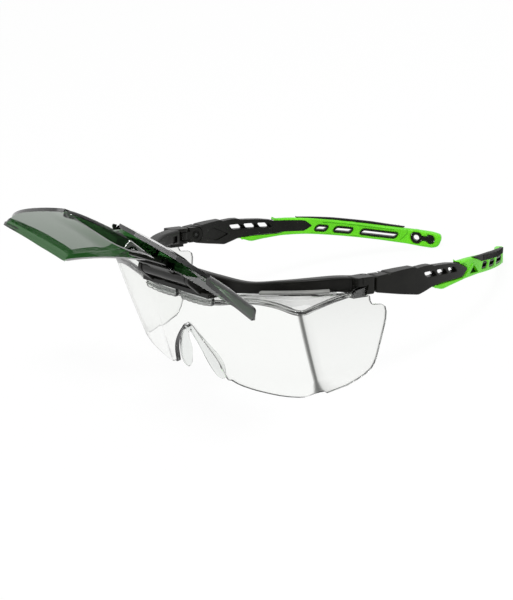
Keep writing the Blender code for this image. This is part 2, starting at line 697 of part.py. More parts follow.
def build_temple(side_name, side, tilt_bore):
    flip = side < 0
    axis = TILT[side]

    slots = [rounded(slanted_slot(a - length / 2, a + length / 2, PLATE_SLOT_Z, PLATE_SLOT_HALF, SLOT_SLANT), 0.6, 2)
             for a, length in PLATE_SLOTS]
    plate = flat_outline("temple_plate", [rounded(PLATE, 1.2, 2)] + slots, 1)
    mesh = bend_onto_temple("temple_plate", plate, lambda a: 0.0, full_depth)
    arm = finish("temple_plate_" + side_name, mesh, BLACK_NYLON, axis, flip)
    tongue = bend_onto_temple("tongue", flat_outline("tongue", [TONGUE], 1),
                              lambda a: full_depth(a) - TONGUE_WALL, lambda a: full_depth(a) + TONGUE_PROUD)
    combine(arm, cutter("tongue_" + side_name, tongue, flip), "UNION")
    clear_nose = rod_mesh("clear_nose", (LINK_X[0] - 8, TILT_Y, TILT_Z), (LINK_X[1] + GAP, TILT_Y, TILT_Z),
                          TILT_NOSE_R + GAP, 32)
    combine(arm, cutter("clear_nose_" + side_name, clear_nose, flip), "DIFFERENCE")
    clear_link = box_mesh("clear_link", (LINK_X[0] - 8, 0, -20), (LINK_X[1] + GAP, TILT_Y + TILT_PLAY, 20))
    combine(arm, cutter("clear_link_" + side_name, clear_link, flip), "DIFFERENCE")
    combine(arm, tilt_bore, "DIFFERENCE")

    holes = [rounded(slanted_slot(a0, a1, SLEEVE_SLOT_Z, SLEEVE_SLOT_HALF, SLOT_SLANT, LINER_WALL + GAP), 0.8, 2)
             for a0, a1 in SLEEVE_SLOTS]
    holes.append(insert_outline(GAP))
    sleeve = flat_outline("sleeve", [rounded(sleeve_outline(), 1.0, 2)] + holes, 1)
    mesh = bend_onto_temple("temple_sleeve", sleeve, lambda a: 0.0, full_depth)
    cover = finish("temple_sleeve_" + side_name, mesh, GREEN_RUBBER, axis, flip)
    pad = flat_outline("pad_pocket", [[(a, z) for a, z in PAD_OUTLINE]], 1)
    pocket = bend_onto_temple("pad_pocket", pad, lambda a: -3.0, lambda a: PAD_DEPTH + GAP)
    combine(cover, cutter("pad_pocket_" + side_name, pocket, flip), "DIFFERENCE")
    bed = flat_outline("tongue_bed", [shrink(TONGUE, -GAP)], 1)
    bed = bend_onto_temple("tongue_bed", bed, lambda a: full_depth(a) - TONGUE_WALL - GAP,
                           lambda a: full_depth(a) + 3.0)
    combine(cover, cutter("tongue_bed_" + side_name, bed, flip), "DIFFERENCE")
    window = flat_outline("window", [rounded(WINDOW, 0.8, 2)], 1)
    window = bend_onto_temple("window", window, lambda a: -3.0, lambda a: WINDOW_DEPTH)
    combine(cover, cutter("window_" + side_name, window, flip), "DIFFERENCE")

    for k, (a0, a1) in enumerate(SLEEVE_SLOTS):
        ring = [rounded(slanted_slot(a0, a1, SLEEVE_SLOT_Z, SLEEVE_SLOT_HALF, SLOT_SLANT, LINER_WALL), 0.7, 2),
                rounded(slanted_slot(a0, a1, SLEEVE_SLOT_Z, SLEEVE_SLOT_HALF, SLOT_SLANT), 0.5, 2)]
        liner = flat_outline("liner", ring, 1)
        mesh = bend_onto_temple("liner", liner, lambda a: 0.4, lambda a: full_depth(a) + 0.2)
        finish("slot_liner_%d_%s" % (k + 1, side_name), mesh, BLACK_NYLON, axis, flip)

    inner_pad = [(a, z) for a, z in shrink(PAD_OUTLINE, GAP)]
    pad = flat_outline("pad", [inner_pad], 1)
    mesh = bend_onto_temple("pad", pad, lambda a: -PAD_PROUD, lambda a: PAD_DEPTH)
    finish("grip_pad_" + side_name, mesh, BLACK_RUBBER, axis, flip)

    insert = flat_outline("insert", [insert_outline(), circle(TIP_RING_A, TIP_Z, TIP_HOLE_R)], 1)
    mesh = bend_onto_temple("insert", insert, lambda a: 0.3, lambda a: full_depth(a) + 0.3, 3.0)
    finish("tip_insert_" + side_name, mesh, BLACK_NYLON, axis, flip)


def shrink(points, distance):
    """An outline drawn in by a distance on every side."""
    count = len(points)
    area = sum(points[i][0] * points[(i + 1) % count][1] - points[(i + 1) % count][0] * points[i][1]
               for i in range(count))
    turn = 1 if area > 0 else -1
    out = []
    for i in range(count):
        here = Vector(points[i])
        before = (here - Vector(points[i - 1])).normalized()
        after = (Vector(points[(i + 1) % count]) - here).normalized()
        normal_a = Vector((-before.y, before.x)) * turn
        normal_b = Vector((-after.y, after.x)) * turn
        middle = (normal_a + normal_b).normalized()
        out.append(tuple(here + middle * distance / max(0.3, middle.dot(normal_a))))
    return out


# Visor

RISE = math.radians(VISOR_RISE)
HEIGHT_WAY = Vector((0, -math.cos(RISE), math.sin(RISE)))
DEPTH_WAY = Vector((0, -math.sin(RISE), -math.cos(RISE)))
VISOR_STEPS = (0, 3, 6, 9, 11, 12.8, 14.4, 15.7, 17, 18.4, 20, 22.5, 26, 32, 40, 48, 56, 64, 72, 79, 84, 86)
VISOR_ROW_COUNT = 5


def panel_place(x, h, depth):
    """A place in the worn frame from the visor's panel frame."""
    return Vector((x, *VISOR_EDGE)) + HEIGHT_WAY * h + DEPTH_WAY * depth


def visor_depth(x, h):
    return VISOR_SAG * (abs(x) / VISOR_HALF)**VISOR_SAG_POWER + VISOR_BOW * (h / VISOR_BOW_AT)**2 - dome(h)


def dome(h):
    """How far the panel is crowned out at a height from the hinge edge."""
    return VISOR_DOME * (1 - min(1.0, abs(h) / VISOR_BOW_AT)**2)


def visor_rows():
    """Rows from the rim at the hinge edge over the panel to the rim at the free edge."""
    widest = VISOR_HALF + VISOR_SPREAD
    columns = []
    for x in VISOR_STEPS:
        share = x / widest
        top = -VISOR_CORNER_RISE * share**2
        free = curve_at(VISOR_FREE, x)
        heights = [top]
        for k in range(VISOR_ROW_COUNT + 1):
            heights.append(top + VISOR_ROUND + (free - top - 2 * VISOR_ROUND) * k / VISOR_ROW_COUNT)
        heights.append(free)
        column = []
        for h in heights:
            across = share * (VISOR_HALF + VISOR_SPREAD * max(0.0, (h - top) / (VISOR_FREE[-1][1] - top)))
            rounding = VISOR_ROUND if h in (top, free) else 0
            column.append((across, h, visor_depth(across, h) + rounding))
        first, last = column[0], column[-1]
        out_x = VISOR_DRAFT * share
        rim_top = (first[0] + out_x, first[1] - VISOR_DRAFT * 0.4,
                   visor_depth(first[0], top) + VISOR_RIM + dome(top))
        rim_free = (last[0] + out_x, last[1] + VISOR_DRAFT * 0.3,
                    visor_depth(last[0], free) + free_rim(x) + dome(free))
        columns.append([rim_top] + column + [rim_free])
    end = columns[-1]
    rim_end = [(p[0] + VISOR_DRAFT, p[1], p[2] + (VISOR_RIM + dome(p[1])) * (1 - 0.3 * k / len(end)))
               for k, p in enumerate(end[1:-1])]
    columns.append([end[0]] + rim_end + [end[-1]])
    return [[panel_place(*column[k]) for column in columns] for k in range(len(columns[0]))]


def free_rim(x):
    """Depth of the rim along the free edge: deep at the nose, shallow at the outer corner."""
    return linear_at(((0, VISOR_RIM), (17, VISOR_RIM), (40, 4.2), (86, 3.0)), x)


def build_visor():
    rows = visor_rows()
    visor = finish("flip_visor", shape_grid("flip_visor", rows), TINTED, FLIP)
    add_mirror(visor)
    add_wall(visor, VISOR_WALL)
    for name, x in (("left", SCREW_X), ("right", -SCREW_X)):
        hole = rod_mesh("screw_hole", panel_place(x, -6, SCREW_DEPTH), panel_place(x, 6, SCREW_DEPTH),
                        SCREW_R + GAP, 16)
        combine(visor, cutter("visor_screw_hole_" + name, hole), "DIFFERENCE")
    return visor


def panel_box(name, low, high):
    """A box whose sides follow the panel frame."""
    bm = bmesh.new()
    add_box(bm, low, high)
    for vert in bm.verts:
        vert.co = panel_place(*vert.co)
    return to_mesh(name, bm)


def axis_in_panel():
    """Height and depth of the flip axis in the panel frame."""
    way = Vector((0, *FLIP_AXIS)) - Vector((0, *VISOR_EDGE))
    return way.dot(HEIGHT_WAY), way.dot(DEPTH_WAY)


def build_carrier():
    axis_h, axis_d = axis_in_panel()
    barrel = rod_mesh("flip_carrier", (-CARRIER_HALF, *FLIP_AXIS), (CARRIER_HALF, *FLIP_AXIS), BARREL_R, 28)
    carrier = finish("flip_carrier", barrel, BLACK_NYLON, FLIP)
    neck = panel_box("neck", (-NECK_HALF, axis_h, axis_d - 1.4), (NECK_HALF, -1.2, axis_d + 1.2))
    combine(carrier, cutter("carrier_neck", neck), "UNION")
    foot = panel_box("foot", (-FOOT_HALF, -2.6, 1.2), (FOOT_HALF, -1.2, 6.2))
    combine(carrier, cutter("carrier_foot", foot), "UNION")
    bore = rod_mesh("bore", (-CARRIER_HALF - 2, *FLIP_AXIS), (CARRIER_HALF + 2, *FLIP_AXIS), FLIP_PIN_R + GAP, 20)
    combine(carrier, cutter("carrier_bore", bore), "DIFFERENCE")
    clamp = panel_box("clamp_plate", (-FOOT_HALF, 2.6, 3.3), (FOOT_HALF, 4.0, 6.0))
    plate = finish("clamp_plate", clamp, BLACK_NYLON, FLIP)
    for name, x in (("left", SCREW_X), ("right", -SCREW_X)):
        for piece in (carrier, plate):
            hole = rod_mesh("hole", panel_place(x, -6, SCREW_DEPTH), panel_place(x, 8, SCREW_DEPTH),
                            SCREW_R + GAP, 16)
            combine(piece, cutter("%s_hole_%s" % (piece.name, name), hole), "DIFFERENCE")
        head = rod_mesh("visor_screw", panel_place(x, -3.8, SCREW_DEPTH),
                        panel_place(x, -2.6 - GAP, SCREW_DEPTH), SCREW_HEAD_R, 16)
        screw = finish("visor_screw_" + name, head, STEEL, FLIP)
        shank = rod_mesh("shank", panel_place(x, -3.4, SCREW_DEPTH), panel_place(x, 4.6, SCREW_DEPTH), SCREW_R, 12)
        combine(screw, cutter("screw_shank_" + name, shank), "UNION")


# Flip mount

def build_mount():
    y0, y1, z0, z1 = BASE_FLOOR
    floor = box_mesh("flip_mount", (-BASE_HALF, y0, z0), (BASE_HALF, y1, z1))
    base = finish("flip_mount", floor, BLACK_NYLON, WORN)
    back = box_mesh("back_wall", (-BASE_HALF, y1 - 1.2, z0 + 0.4), (BASE_HALF, y1, BASE_BACK_TOP))
    combine(base, cutter("mount_back", back), "UNION")
    lip = box_mesh("front_lip", (-BASE_HALF, y0, z0), (BASE_HALF, y0 + 1.0, z1 + 0.5))
    combine(base, cutter("mount_lip", lip), "UNION")
    for name, side in (("left", 1), ("right", -1)):
        outline = ear_plan()
        bm = flat_outline("mount_ear", [outline], MOUNT_EAR_WALL / 2)
        mesh = bpy.data.meshes.new("mount_ear")
        bm.to_mesh(mesh)
        bm.free()
        middle = MOUNT_EAR_X + MOUNT_EAR_WALL / 2
        mesh.transform(Matrix(((0, 0, 1, middle), (1, 0, 0, 0), (0, 1, 0, 0), (0, 0, 0, 1))))
        combine(base, cutter("mount_ear_" + name, mesh, side < 0), "UNION")
    bore = rod_mesh("bore", (-30, *FLIP_AXIS), (30, *FLIP_AXIS), FLIP_PIN_R + GAP, 20)
    combine(base, cutter("mount_bore", bore), "DIFFERENCE")
    reach = MOUNT_EAR_X + MOUNT_EAR_WALL
    pin = rod_mesh("flip_pin", (-reach, *FLIP_AXIS), (reach, *FLIP_AXIS), FLIP_PIN_R)
    finish("flip_pin", pin, STEEL, WORN)


def ear_plan():
    """Side view of a mount ear: round about the flip axis, with a leg down to the floor of the mount."""
    y, z = FLIP_AXIS
    y0, y1, z0, z1 = BASE_FLOOR
    arc = [(y + MOUNT_EAR_R * math.cos(a), z + MOUNT_EAR_R * math.sin(a))
           for a in (math.radians(60 + 20 * k) for k in range(0, 10))]
    return arc + [(y0, z0 + 0.8), (y1 - 0.6, z0 + 0.8), (y1 - 0.6, -5.0)]


def build_spring():
    """A flat steel leaf on the floor of the mount, which bears on the barrel and holds the visor up or down."""
    y0, y1, z0, z1 = BASE_FLOOR
    floor = z1 + GAP
    upright = FLIP_AXIS[0] + BARREL_R + GAP
    spine = [(y1 - 1.2 - GAP, floor), (upright + 2.2, floor), (upright + 0.9, floor + 0.5),
             (upright + 0.2, floor + 1.6), (upright, FLIP_AXIS[1] - 1.2), (upright, FLIP_AXIS[1] + 0.6),
             (upright + 0.6, FLIP_AXIS[1] + 1.8)]
    normals = []
    for i, point in enumerate(spine):
        before = Vector(spine[max(0, i - 1)])
        after = Vector(spine[min(len(spine) - 1, i + 1)])
        way = (after - before).normalized()
        normals.append(Vector((way.y, -way.x)))
    over = [tuple(Vector(p) + n * SPRING_SHEET) for p, n in zip(spine, normals)]
    bm = flat_outline("detent_spring", [spine + list(reversed(over))], SPRING_WIDTH / 2)
    mesh = bpy.data.meshes.new("detent_spring")
    bm.to_mesh(mesh)
    bm.free()
    mesh.transform(Matrix(((0, 0, 1, 0), (1, 0, 0, 0), (0, 1, 0, 0), (0, 0, 0, 1))))
    finish("detent_spring", mesh, STEEL, WORN)


def build_grips():
    """Clear jaws that hold the mount on the rim of the lens, with a toothed lower edge."""
    y0, y1, z0, z1 = BASE_FLOOR
    x0, x1 = GRIP_X
    pitch = (x1 - x0) / GRIP_TEETH
    for name, side in (("left", 1), ("right", -1)):
        edge = [(x0, z0 - GAP), (x0, curve_at(LENS_TOP, x0) - GRIP_DEPTH)]
        for k in range(GRIP_TEETH):
            for share, tooth in ((0.25, GRIP_TOOTH), (0.75, GRIP_TOOTH), (1, 0)):
                x = x0 + pitch * (k + share)
                edge.append((x, curve_at(LENS_TOP, x) - GRIP_DEPTH - tooth))
        edge.append((x1, z0 - GAP))
        bm = flat_outline("lens_grip", [edge], 0.8)
        mesh = bpy.data.meshes.new("lens_grip")
        bm.to_mesh(mesh)
        bm.free()
        front = LENS_CENTRE_Y - GAP - 1.4
        mesh.transform(Matrix(((1, 0, 0, 0), (0, 0, -1, front), (0, 1, 0, 0), (0, 0, 0, 1))))
        grip = finish("lens_grip_" + name, mesh, CLEAR, WORN, side < 0)
        web = box_mesh("web", (x0 + 0.5, front, z0 - GAP - 0.8), (x1 - 4, y1 - 0.4, z0 - GAP - 0.15))
        combine(grip, cutter("grip_web_" + name, web, side < 0), "UNION")


# Soft parts

def build_nose():
    rings = []
    band = NOSE_BAND
    steps = (len(band) - 1) * 3
    for k in range(-steps, steps + 1):
        spot = abs(k) / 3
        x, y, z, wide, wall = [curve_at([(i, row[j]) for i, row in enumerate(band)], spot) for j in range(5)]
        low = max(0.0, spot - 0.1)
        high = min(len(band) - 1, spot + 0.1)
        ends = [[curve_at([(i, row[j]) for i, row in enumerate(band)], s) for j in (0, 2)] for s in (low, high)]
        way = Vector((ends[1][0] - ends[0][0], ends[1][1] - ends[0][1])).normalized()
        if k == 0:
            way = Vector((1, 0))
        out = Vector((-way.y, way.x))
        mirror = -1 if k < 0 else 1
        ring = []
        for n in range(10):
            angle = 2 * math.pi * n / 10
            across = math.cos(angle) * wall / 2
            along = math.sin(angle) * wide / 2
            splay = 0.25 * min(1.0, spot / 2) * along
            ring.append((mirror * (x + out.x * across + splay), y + along, z + out.y * across))
        rings.append(ring)
    finish("nose_piece", loft("nose_piece", rings), CLEAR, WORN)


def build_brow_seals():
    """Soft strips that lie on the roof in front of the brow bar."""
    for name, side in (("left", 1), ("right", -1)):
        rings = []
        for k in range(11):
            t = 0.42 + 0.36 * k / 10
            x, y, z, tall, deep = brow_point(t)
            out = brow_outward(t)
            near = deep / 2 + GAP
            far = near + 2.0
            low = z - tall / 2 + 0.25
            high = low + 1.6
            ring = [(x + out.x * near, y + out.y * near, low), (x + out.x * far, y + out.y * far, low - 0.1),
                    (x + out.x * far, y + out.y * far, high - 0.6), (x + out.x * near, y + out.y * near, high)]
            rings.append(ring)
        finish("brow_seal_" + name, loft("brow_seal", rings), GREY_CLEAR, WORN, side < 0)


# Standing on the table

def stand_on_table():
    """Tips the worn frame back until the lens edges and the temple tips stand on Z = 0, cuts both flat
    there, and centres the glasses on the origin."""
    tip = temple_point(TEMPLE_LENGTH - 7, 0, 2)
    tip_low = Vector((tip.y, tip.z + SLEEVE_LOW[-1][1]))
    lens_low = Vector(LENS_STAND)
    pitch = math.atan2(tip_low.y - lens_low.y, tip_low.x - lens_low.x)
    WORN.rotation_euler = (-pitch, 0, 0)
    height = lens_low.x * math.sin(-pitch) + lens_low.y * math.cos(-pitch)
    WORN.location.z = (-height - FLAT_DEPTH) * MM
    bpy.context.view_layer.update()
    floor = bpy.data.objects.new("table_cut", box_mesh("table_cut", (-150, -250, -12), (150, 300, 0)))
    floor.data.transform(Matrix.Scale(MM, 4))
    floor.display_type = "WIRE"
    floor.hide_render = True
    CUTTERS.objects.link(floor)
    for name in ("clear_lens", "temple_sleeve_left", "temple_sleeve_right"):
        combine(bpy.data.objects[name], floor, "DIFFERENCE")
    graph = bpy.context.evaluated_depsgraph_get()
    low = math.inf
    high = -math.inf
    for piece in PARTS.objects:
        if piece.type == "MESH":
            shown = piece.evaluated_get(graph)
            for vert in shown.data.vertices:
                y = (shown.matrix_world @ vert.co).y
                low = min(low, y)
                high = max(high, y)
    WORN.location.y -= (low + high) / 2
    bpy.context.view_layer.update()


build_lens()
build_brow()
build_brow_seals()
build_nose()
build_mount()
build_spring()
build_grips()
for side_name, side in (("left", 1), ("right", -1)):
    build_temple(side_name, side, build_hinge(side_name, side))
build_visor()
build_carrier()
stand_on_table()
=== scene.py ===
"""Flip-up safety overglasses on a pale studio table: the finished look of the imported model.

Lengths are millimetres in the worn frame: X to the wearer's left, Y back along the temples, Z up.
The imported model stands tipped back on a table, and WORN turns worn millimetres into its metres.
"""
import json
import math

import bmesh
import bpy
from mathutils import Matrix, Vector
from mathutils.kdtree import KDTree


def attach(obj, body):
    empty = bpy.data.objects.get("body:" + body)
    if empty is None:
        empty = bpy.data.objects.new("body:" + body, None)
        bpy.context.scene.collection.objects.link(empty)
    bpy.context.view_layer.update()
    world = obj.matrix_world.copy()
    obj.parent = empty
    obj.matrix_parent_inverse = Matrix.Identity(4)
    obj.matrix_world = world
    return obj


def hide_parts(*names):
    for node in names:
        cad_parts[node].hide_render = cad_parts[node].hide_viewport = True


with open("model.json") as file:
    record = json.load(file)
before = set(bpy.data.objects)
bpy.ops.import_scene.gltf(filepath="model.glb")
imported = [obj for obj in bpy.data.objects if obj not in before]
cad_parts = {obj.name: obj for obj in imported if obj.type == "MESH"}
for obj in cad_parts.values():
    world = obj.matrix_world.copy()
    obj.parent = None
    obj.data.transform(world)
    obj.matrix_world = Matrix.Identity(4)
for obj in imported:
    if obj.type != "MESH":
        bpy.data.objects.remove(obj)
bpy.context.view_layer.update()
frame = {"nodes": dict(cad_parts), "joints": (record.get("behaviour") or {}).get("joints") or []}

MM = 0.001

# The hinge axes in the worn frame, as (y, z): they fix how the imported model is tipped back
FLIP_AXIS = (-41.4, -1.5)
FOLD_PIN = (71.8, 12.2)
TILT_AXIS = (19.2, -0.6)


def worn_to_row():
    """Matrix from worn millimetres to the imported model's metres, from two joints of the record."""
    places = {joint["name"]: joint["pos_m"] for joint in frame["joints"]}
    flip = Vector(places["visor_flip"][1:]) / MM
    fold = Vector(places["fold_left"][1:]) / MM
    worn = Vector((FOLD_PIN[1], 0)) - Vector(FLIP_AXIS)
    row = fold - flip
    pitch = math.atan2(row.y, row.x) - math.atan2(worn.y, worn.x)
    turn = Matrix.Rotation(pitch, 4, "X")
    start = turn @ Vector((0, *FLIP_AXIS))
    shift = Matrix.Translation((0, flip.x - start.y, flip.y - start.z))
    return Matrix.Scale(MM, 4) @ shift @ turn


WORN = worn_to_row()
PIECES = bpy.data.collections.new("finished_overglasses")
bpy.context.scene.collection.children.link(PIECES)
STUDIO = bpy.data.collections.new("studio")
bpy.context.scene.collection.children.link(STUDIO)


# Materials

PLASTIC_IOR = 1.53
LENS_IOR = 1.585
SILICONE_IOR = 1.41


def hex_colour(code):
    """Linear RGBA of an sRGB colour written as six hex digits."""
    values = [int(code[i:i + 2], 16) / 255 for i in (0, 2, 4)]
    return (*(v / 12.92 if v <= 0.04045 else ((v + 0.055) / 1.055)**2.4 for v in values), 1)


def add_node(tree, kind, values=(), links=(), **settings):
    """Adds a node with its settings, its plain socket values and the outputs linked into it."""
    made = tree.nodes.new(kind)
    for name, value in settings.items():
        setattr(made, name, value)
    for socket, value in values:
        made.inputs[socket].default_value = value
    for socket, source in links:
        tree.links.new(source, made.inputs[socket])
    return made


def new_material(name):
    """An empty material with its output node."""
    material = bpy.data.materials.new(name)
    material.use_nodes = True
    material.node_tree.nodes.clear()
    return material, material.node_tree, material.node_tree.nodes.new("ShaderNodeOutputMaterial")


def set_ramp(ramp, low, low_colour, high, high_colour):
    """Sets the two stops of a colour ramp."""
    ramp.color_ramp.elements[0].position = low
    ramp.color_ramp.elements[0].color = hex_colour(low_colour)
    ramp.color_ramp.elements[1].position = high
    ramp.color_ramp.elements[1].color = hex_colour(high_colour)


def noise(tree, size_mm, detail):
    """Noise of a real size, fixed to the piece, as its output from 0 to 1."""
    place = add_node(tree, "ShaderNodeTexCoord").outputs["Object"]
    return add_node(tree, "ShaderNodeTexNoise", [("Scale", 1 / (size_mm * MM)), ("Detail", detail)],
                    [("Vector", place)]).outputs["Fac"]


def uneven_gloss(tree, pattern, roughness):
    """Roughness between two values that follows a pattern."""
    return add_node(tree, "ShaderNodeMapRange", [("To Min", roughness[0]), ("To Max", roughness[1])],
                    [("Value", pattern)]).outputs["Result"]


def moulded_plastic(name, dark, light, grain_mm, depth_mm, roughness, patch_mm, specular):
    """An opaque moulding: two close colours in soft patches, a fine eroded grain and uneven gloss."""
    material, tree, output = new_material(name)
    tone = add_node(tree, "ShaderNodeValToRGB", links=[("Fac", noise(tree, patch_mm, 3.0))])
    set_ramp(tone, 0.35, dark, 0.65, light)
    grain = noise(tree, grain_mm, 2.0)
    bump = add_node(tree, "ShaderNodeBump", [("Strength", 1.0), ("Distance", depth_mm * MM)],
                    [("Height", grain)])
    gloss = uneven_gloss(tree, grain, roughness)
    shader = add_node(tree, "ShaderNodeBsdfPrincipled",
                      [("IOR", PLASTIC_IOR), ("Specular IOR Level", specular)],
                      [("Base Color", tone.outputs["Color"]), ("Roughness", gloss),
                       ("Normal", bump.outputs["Normal"])])
    tree.links.new(shader.outputs["BSDF"], output.inputs["Surface"])
    return material


def clear_plastic(name, colour, turned_away_shade, ior, roughness, inside, density, painted_shade_colour=None, passing=None):
    """A see-through moulding that lets lamp light through. Its colour deepens with the length inside.
    Where the surface turns away, painted shade darkens it, and where its mesh carries a painted shade share
    the shade colour is painted in."""
    material, tree, output = new_material(name)
    # Painted shade: where the surface turns from view the colour darkens towards the turned-away colour,
    # standing in for the dark outlines that refraction gives
    turned = add_node(tree, "ShaderNodeLayerWeight", [("Blend", 0.15)])
    tone = add_node(tree, "ShaderNodeValToRGB", links=[("Fac", turned.outputs["Facing"])])
    set_ramp(tone, 0.4, colour, 0.8, turned_away_shade)
    colour_out = tone.outputs["Color"]
    # Painted shade: the shade colour is mixed in by the painted shade share that the mesh carries
    if painted_shade_colour:
        share = add_node(tree, "ShaderNodeAttribute", attribute_name="painted_shade_share")
        mixed = add_node(tree, "ShaderNodeMix", [(7, hex_colour(painted_shade_colour))],
                         [(0, share.outputs["Fac"]), (6, colour_out)], data_type="RGBA")
        colour_out = mixed.outputs[2]
    shader = add_node(tree, "ShaderNodeBsdfPrincipled",
                      [("IOR", ior), ("Roughness", roughness), ("Transmission Weight", 1.0)],
                      [("Base Color", colour_out)])
    ray = add_node(tree, "ShaderNodeLightPath")
    passed = add_node(tree, "ShaderNodeBsdfTransparent", [("Color", hex_colour(passing or colour))])
    mix = add_node(tree, "ShaderNodeMixShader",
                   links=[(0, ray.outputs["Is Shadow Ray"]), (1, shader.outputs["BSDF"]),
                          (2, passed.outputs["BSDF"])])
    tree.links.new(mix.outputs["Shader"], output.inputs["Surface"])
    body = add_node(tree, "ShaderNodeVolumeAbsorption", [("Color", hex_colour(inside)), ("Density", density)])
    tree.links.new(body.outputs["Volume"], output.inputs["Volume"])
    return material


# Glass-filled nylon from an eroded mould: warm near-black, dull, an even fine grain (0.2 mm, drawn at 0.35)
NYLON = moulded_plastic("glass_filled_nylon_black", "0F0F0D", "161613", 0.35, 0.010, (0.32, 0.44), 9.0, 0.16)
# Soft TPE overmould, lime: satin, bright, faintly clouded
LIME = moulded_plastic("tpe_overmould_lime", "5CCB06", "68DA0C", 0.5, 0.008, (0.38, 0.5), 14.0, 0.35)
# Soft TPE in black for the pads: duller than the nylon
SOFT_BLACK = moulded_plastic("tpe_pad_black", "181816", "1F1F1D", 0.5, 0.02, (0.5, 0.65), 6.0, 0.2)
# Injection-moulded polycarbonate from a polished mould: water-clear; its bends and edges are greyed by
# painted shade that stands in for refraction
CLEAR = clear_plastic("polycarbonate_clear", "FCFDFB", "8E908C", LENS_IOR, 0.0, "8C938E", 16.0, "3A3C38")
# Green filter-tinted polycarbonate: near-black green through its rims, grey-green where it mirrors light, a
# little darker by painted shade where it turns away
TINT = clear_plastic("polycarbonate_green_filter", "E6F2E6", "B4C8B6", LENS_IOR, 0.02, "5BB059", 1900.0,
                     passing="3F7A45")
# Soft clear silicone of the nose band: a little cloudy, with grey outlines of painted shade where it turns
# away
SILICONE = clear_plastic("silicone_clear_nose_band", "F2F4F2", "6E726E", SILICONE_IOR, 0.06, "9AA09C", 50.0)
# Clear polycarbonate with moulded teeth, its outlines greyed by painted shade where it turns away
TEETH = clear_plastic("polycarbonate_toothed_jaw", "E2E5E2", "5C605C", LENS_IOR, 0.03, "8C938E", 60.0)
# Translucent grey TPE strip: cloudy, so that it reads as mid-grey
SEAL = moulded_plastic("tpe_translucent_grey", "7F807D", "8B8C89", 0.6, 0.01, (0.35, 0.5), 5.0, 0.4)


def plain_steel(name, colour, roughness):
    """Turned steel: fine even tool marks that vary its gloss."""
    material, tree, output = new_material(name)
    gloss = uneven_gloss(tree, noise(tree, TOOL_MARKS, 2.0), roughness)
    shader = add_node(tree, "ShaderNodeBsdfPrincipled",
                      [("Base Color", hex_colour(colour)), ("Metallic", 1.0)], [("Roughness", gloss)])
    tree.links.new(shader.outputs["BSDF"], output.inputs["Surface"])
    return material


TOOL_MARKS = 0.4  # their size in mm
# Stainless spring leaf, cold-rolled: bright, faintly drawn
STEEL = plain_steel("stainless_spring_sheet", "A9AAA8", (0.18, 0.34))
# Steel pins and screws with a black oxide finish: dark, satin
BLACK_STEEL = plain_steel("steel_black_oxide", "3A3B3A", (0.3, 0.45))


# Shapes

MERGE = 0.0005  # doubles nearer than this are one point in a closed form
SHEET_MERGE = 0.002  # and in a sheet or a drawn plate
SHARP = 50  # angle in degrees from which an edge is drawn sharp
ROD_SIDES = 32
ROUND_SHARE = 0.45  # a corner's round takes at most this share of its sides
BEVEL_ANGLE = math.radians(50)
MIRROR = Matrix.Diagonal((-1, 1, 1, 1))
SIDES = ("left", "right")


def curve_at(points, x):
    """Smooth value at x through (x, value) points."""
    if x <= points[0][0]:
        return points[0][1]
    if x >= points[-1][0]:
        return points[-1][1]
    i = max(k for k in range(len(points) - 1) if points[k][0] <= x)
    (x0, y0), (x1, y1) = points[i], points[i + 1]
    slope = (y1 - y0) / (x1 - x0)
    before = slope if i == 0 else (y1 - points[i - 1][1]) / (x1 - points[i - 1][0])
    after = slope if i + 2 == len(points) else (points[i + 2][1] - y0) / (points[i + 2][0] - x0)
    t = (x - x0) / (x1 - x0)
    span = x1 - x0
    return ((2 * t**3 - 3 * t**2 + 1) * y0 + (t**3 - 2 * t**2 + t) * span * before
            + (3 * t**2 - 2 * t**3) * y1 + (t**3 - t**2) * span * after)


def linear_at(points, x):
    """Straight-line value at x through (x, value) points."""
    for (x0, y0), (x1, y1) in zip(points, points[1:]):
        if x <= x1:
            return y0 + (y1 - y0) * max(0.0, x - x0) / (x1 - x0)
    return points[-1][1]


def bend(start, corner, end, t):
    """A place on the round that leads from start to end past a corner, at t from 0 to 1."""
    return start * (1 - t)**2 + corner * 2 * t * (1 - t) + end * t**2


def rounded(points, radius, steps=5):
    """An outline with each corner rounded by a short arc, as far as its sides allow."""
    out = []
    count = len(points)
    for i, point in enumerate(points):
        here = Vector(point)
        before = Vector(points[i - 1]) - here
        after = Vector(points[(i + 1) % count]) - here
        reach = min(radius, before.length * ROUND_SHARE, after.length * ROUND_SHARE)
        start = here + before.normalized() * reach
        end = here + after.normalized() * reach
        out += [tuple(bend(start, here, end, k / steps)) for k in range(steps + 1)]
    return out


def round_corners(points, radius, steps=4):
    """The corners between the first and the last point of an open line, each rounded."""
    return rounded(points, radius, steps)[steps + 1:-steps - 1]


def arc(a, z, radius, start, end, steps):
    """Points of an arc round (a, z) from one angle to another."""
    angles = [start + (end - start) * k / steps for k in range(steps + 1)]
    return [(a + radius * math.cos(angle), z + radius * math.sin(angle)) for angle in angles]


def circle(a, z, radius, steps):
    return arc(a, z, radius, 0, 2 * math.pi, steps)[:-1]


def rectangle(x0, y0, x1, y1):
    return [(x0, y0), (x1, y0), (x1, y1), (x0, y1)]


def shrink(points, distance):
    """An outline drawn in by a distance on every side, or grown by a negative one."""
    count = len(points)
    area = sum(points[i][0] * points[(i + 1) % count][1] - points[(i + 1) % count][0] * points[i][1]
               for i in range(count))
    turn = 1 if area > 0 else -1
    out = []
    for i in range(count):
        here = Vector(points[i])
        before = (here - Vector(points[i - 1])).normalized()
        after = (Vector(points[(i + 1) % count]) - here).normalized()
        normal_a = Vector((-before.y, before.x)) * turn
        normal_b = Vector((-after.y, after.x)) * turn
        middle = (normal_a + normal_b).normalized()
        out.append(tuple(here + middle * distance / max(0.3, middle.dot(normal_a))))
    return out


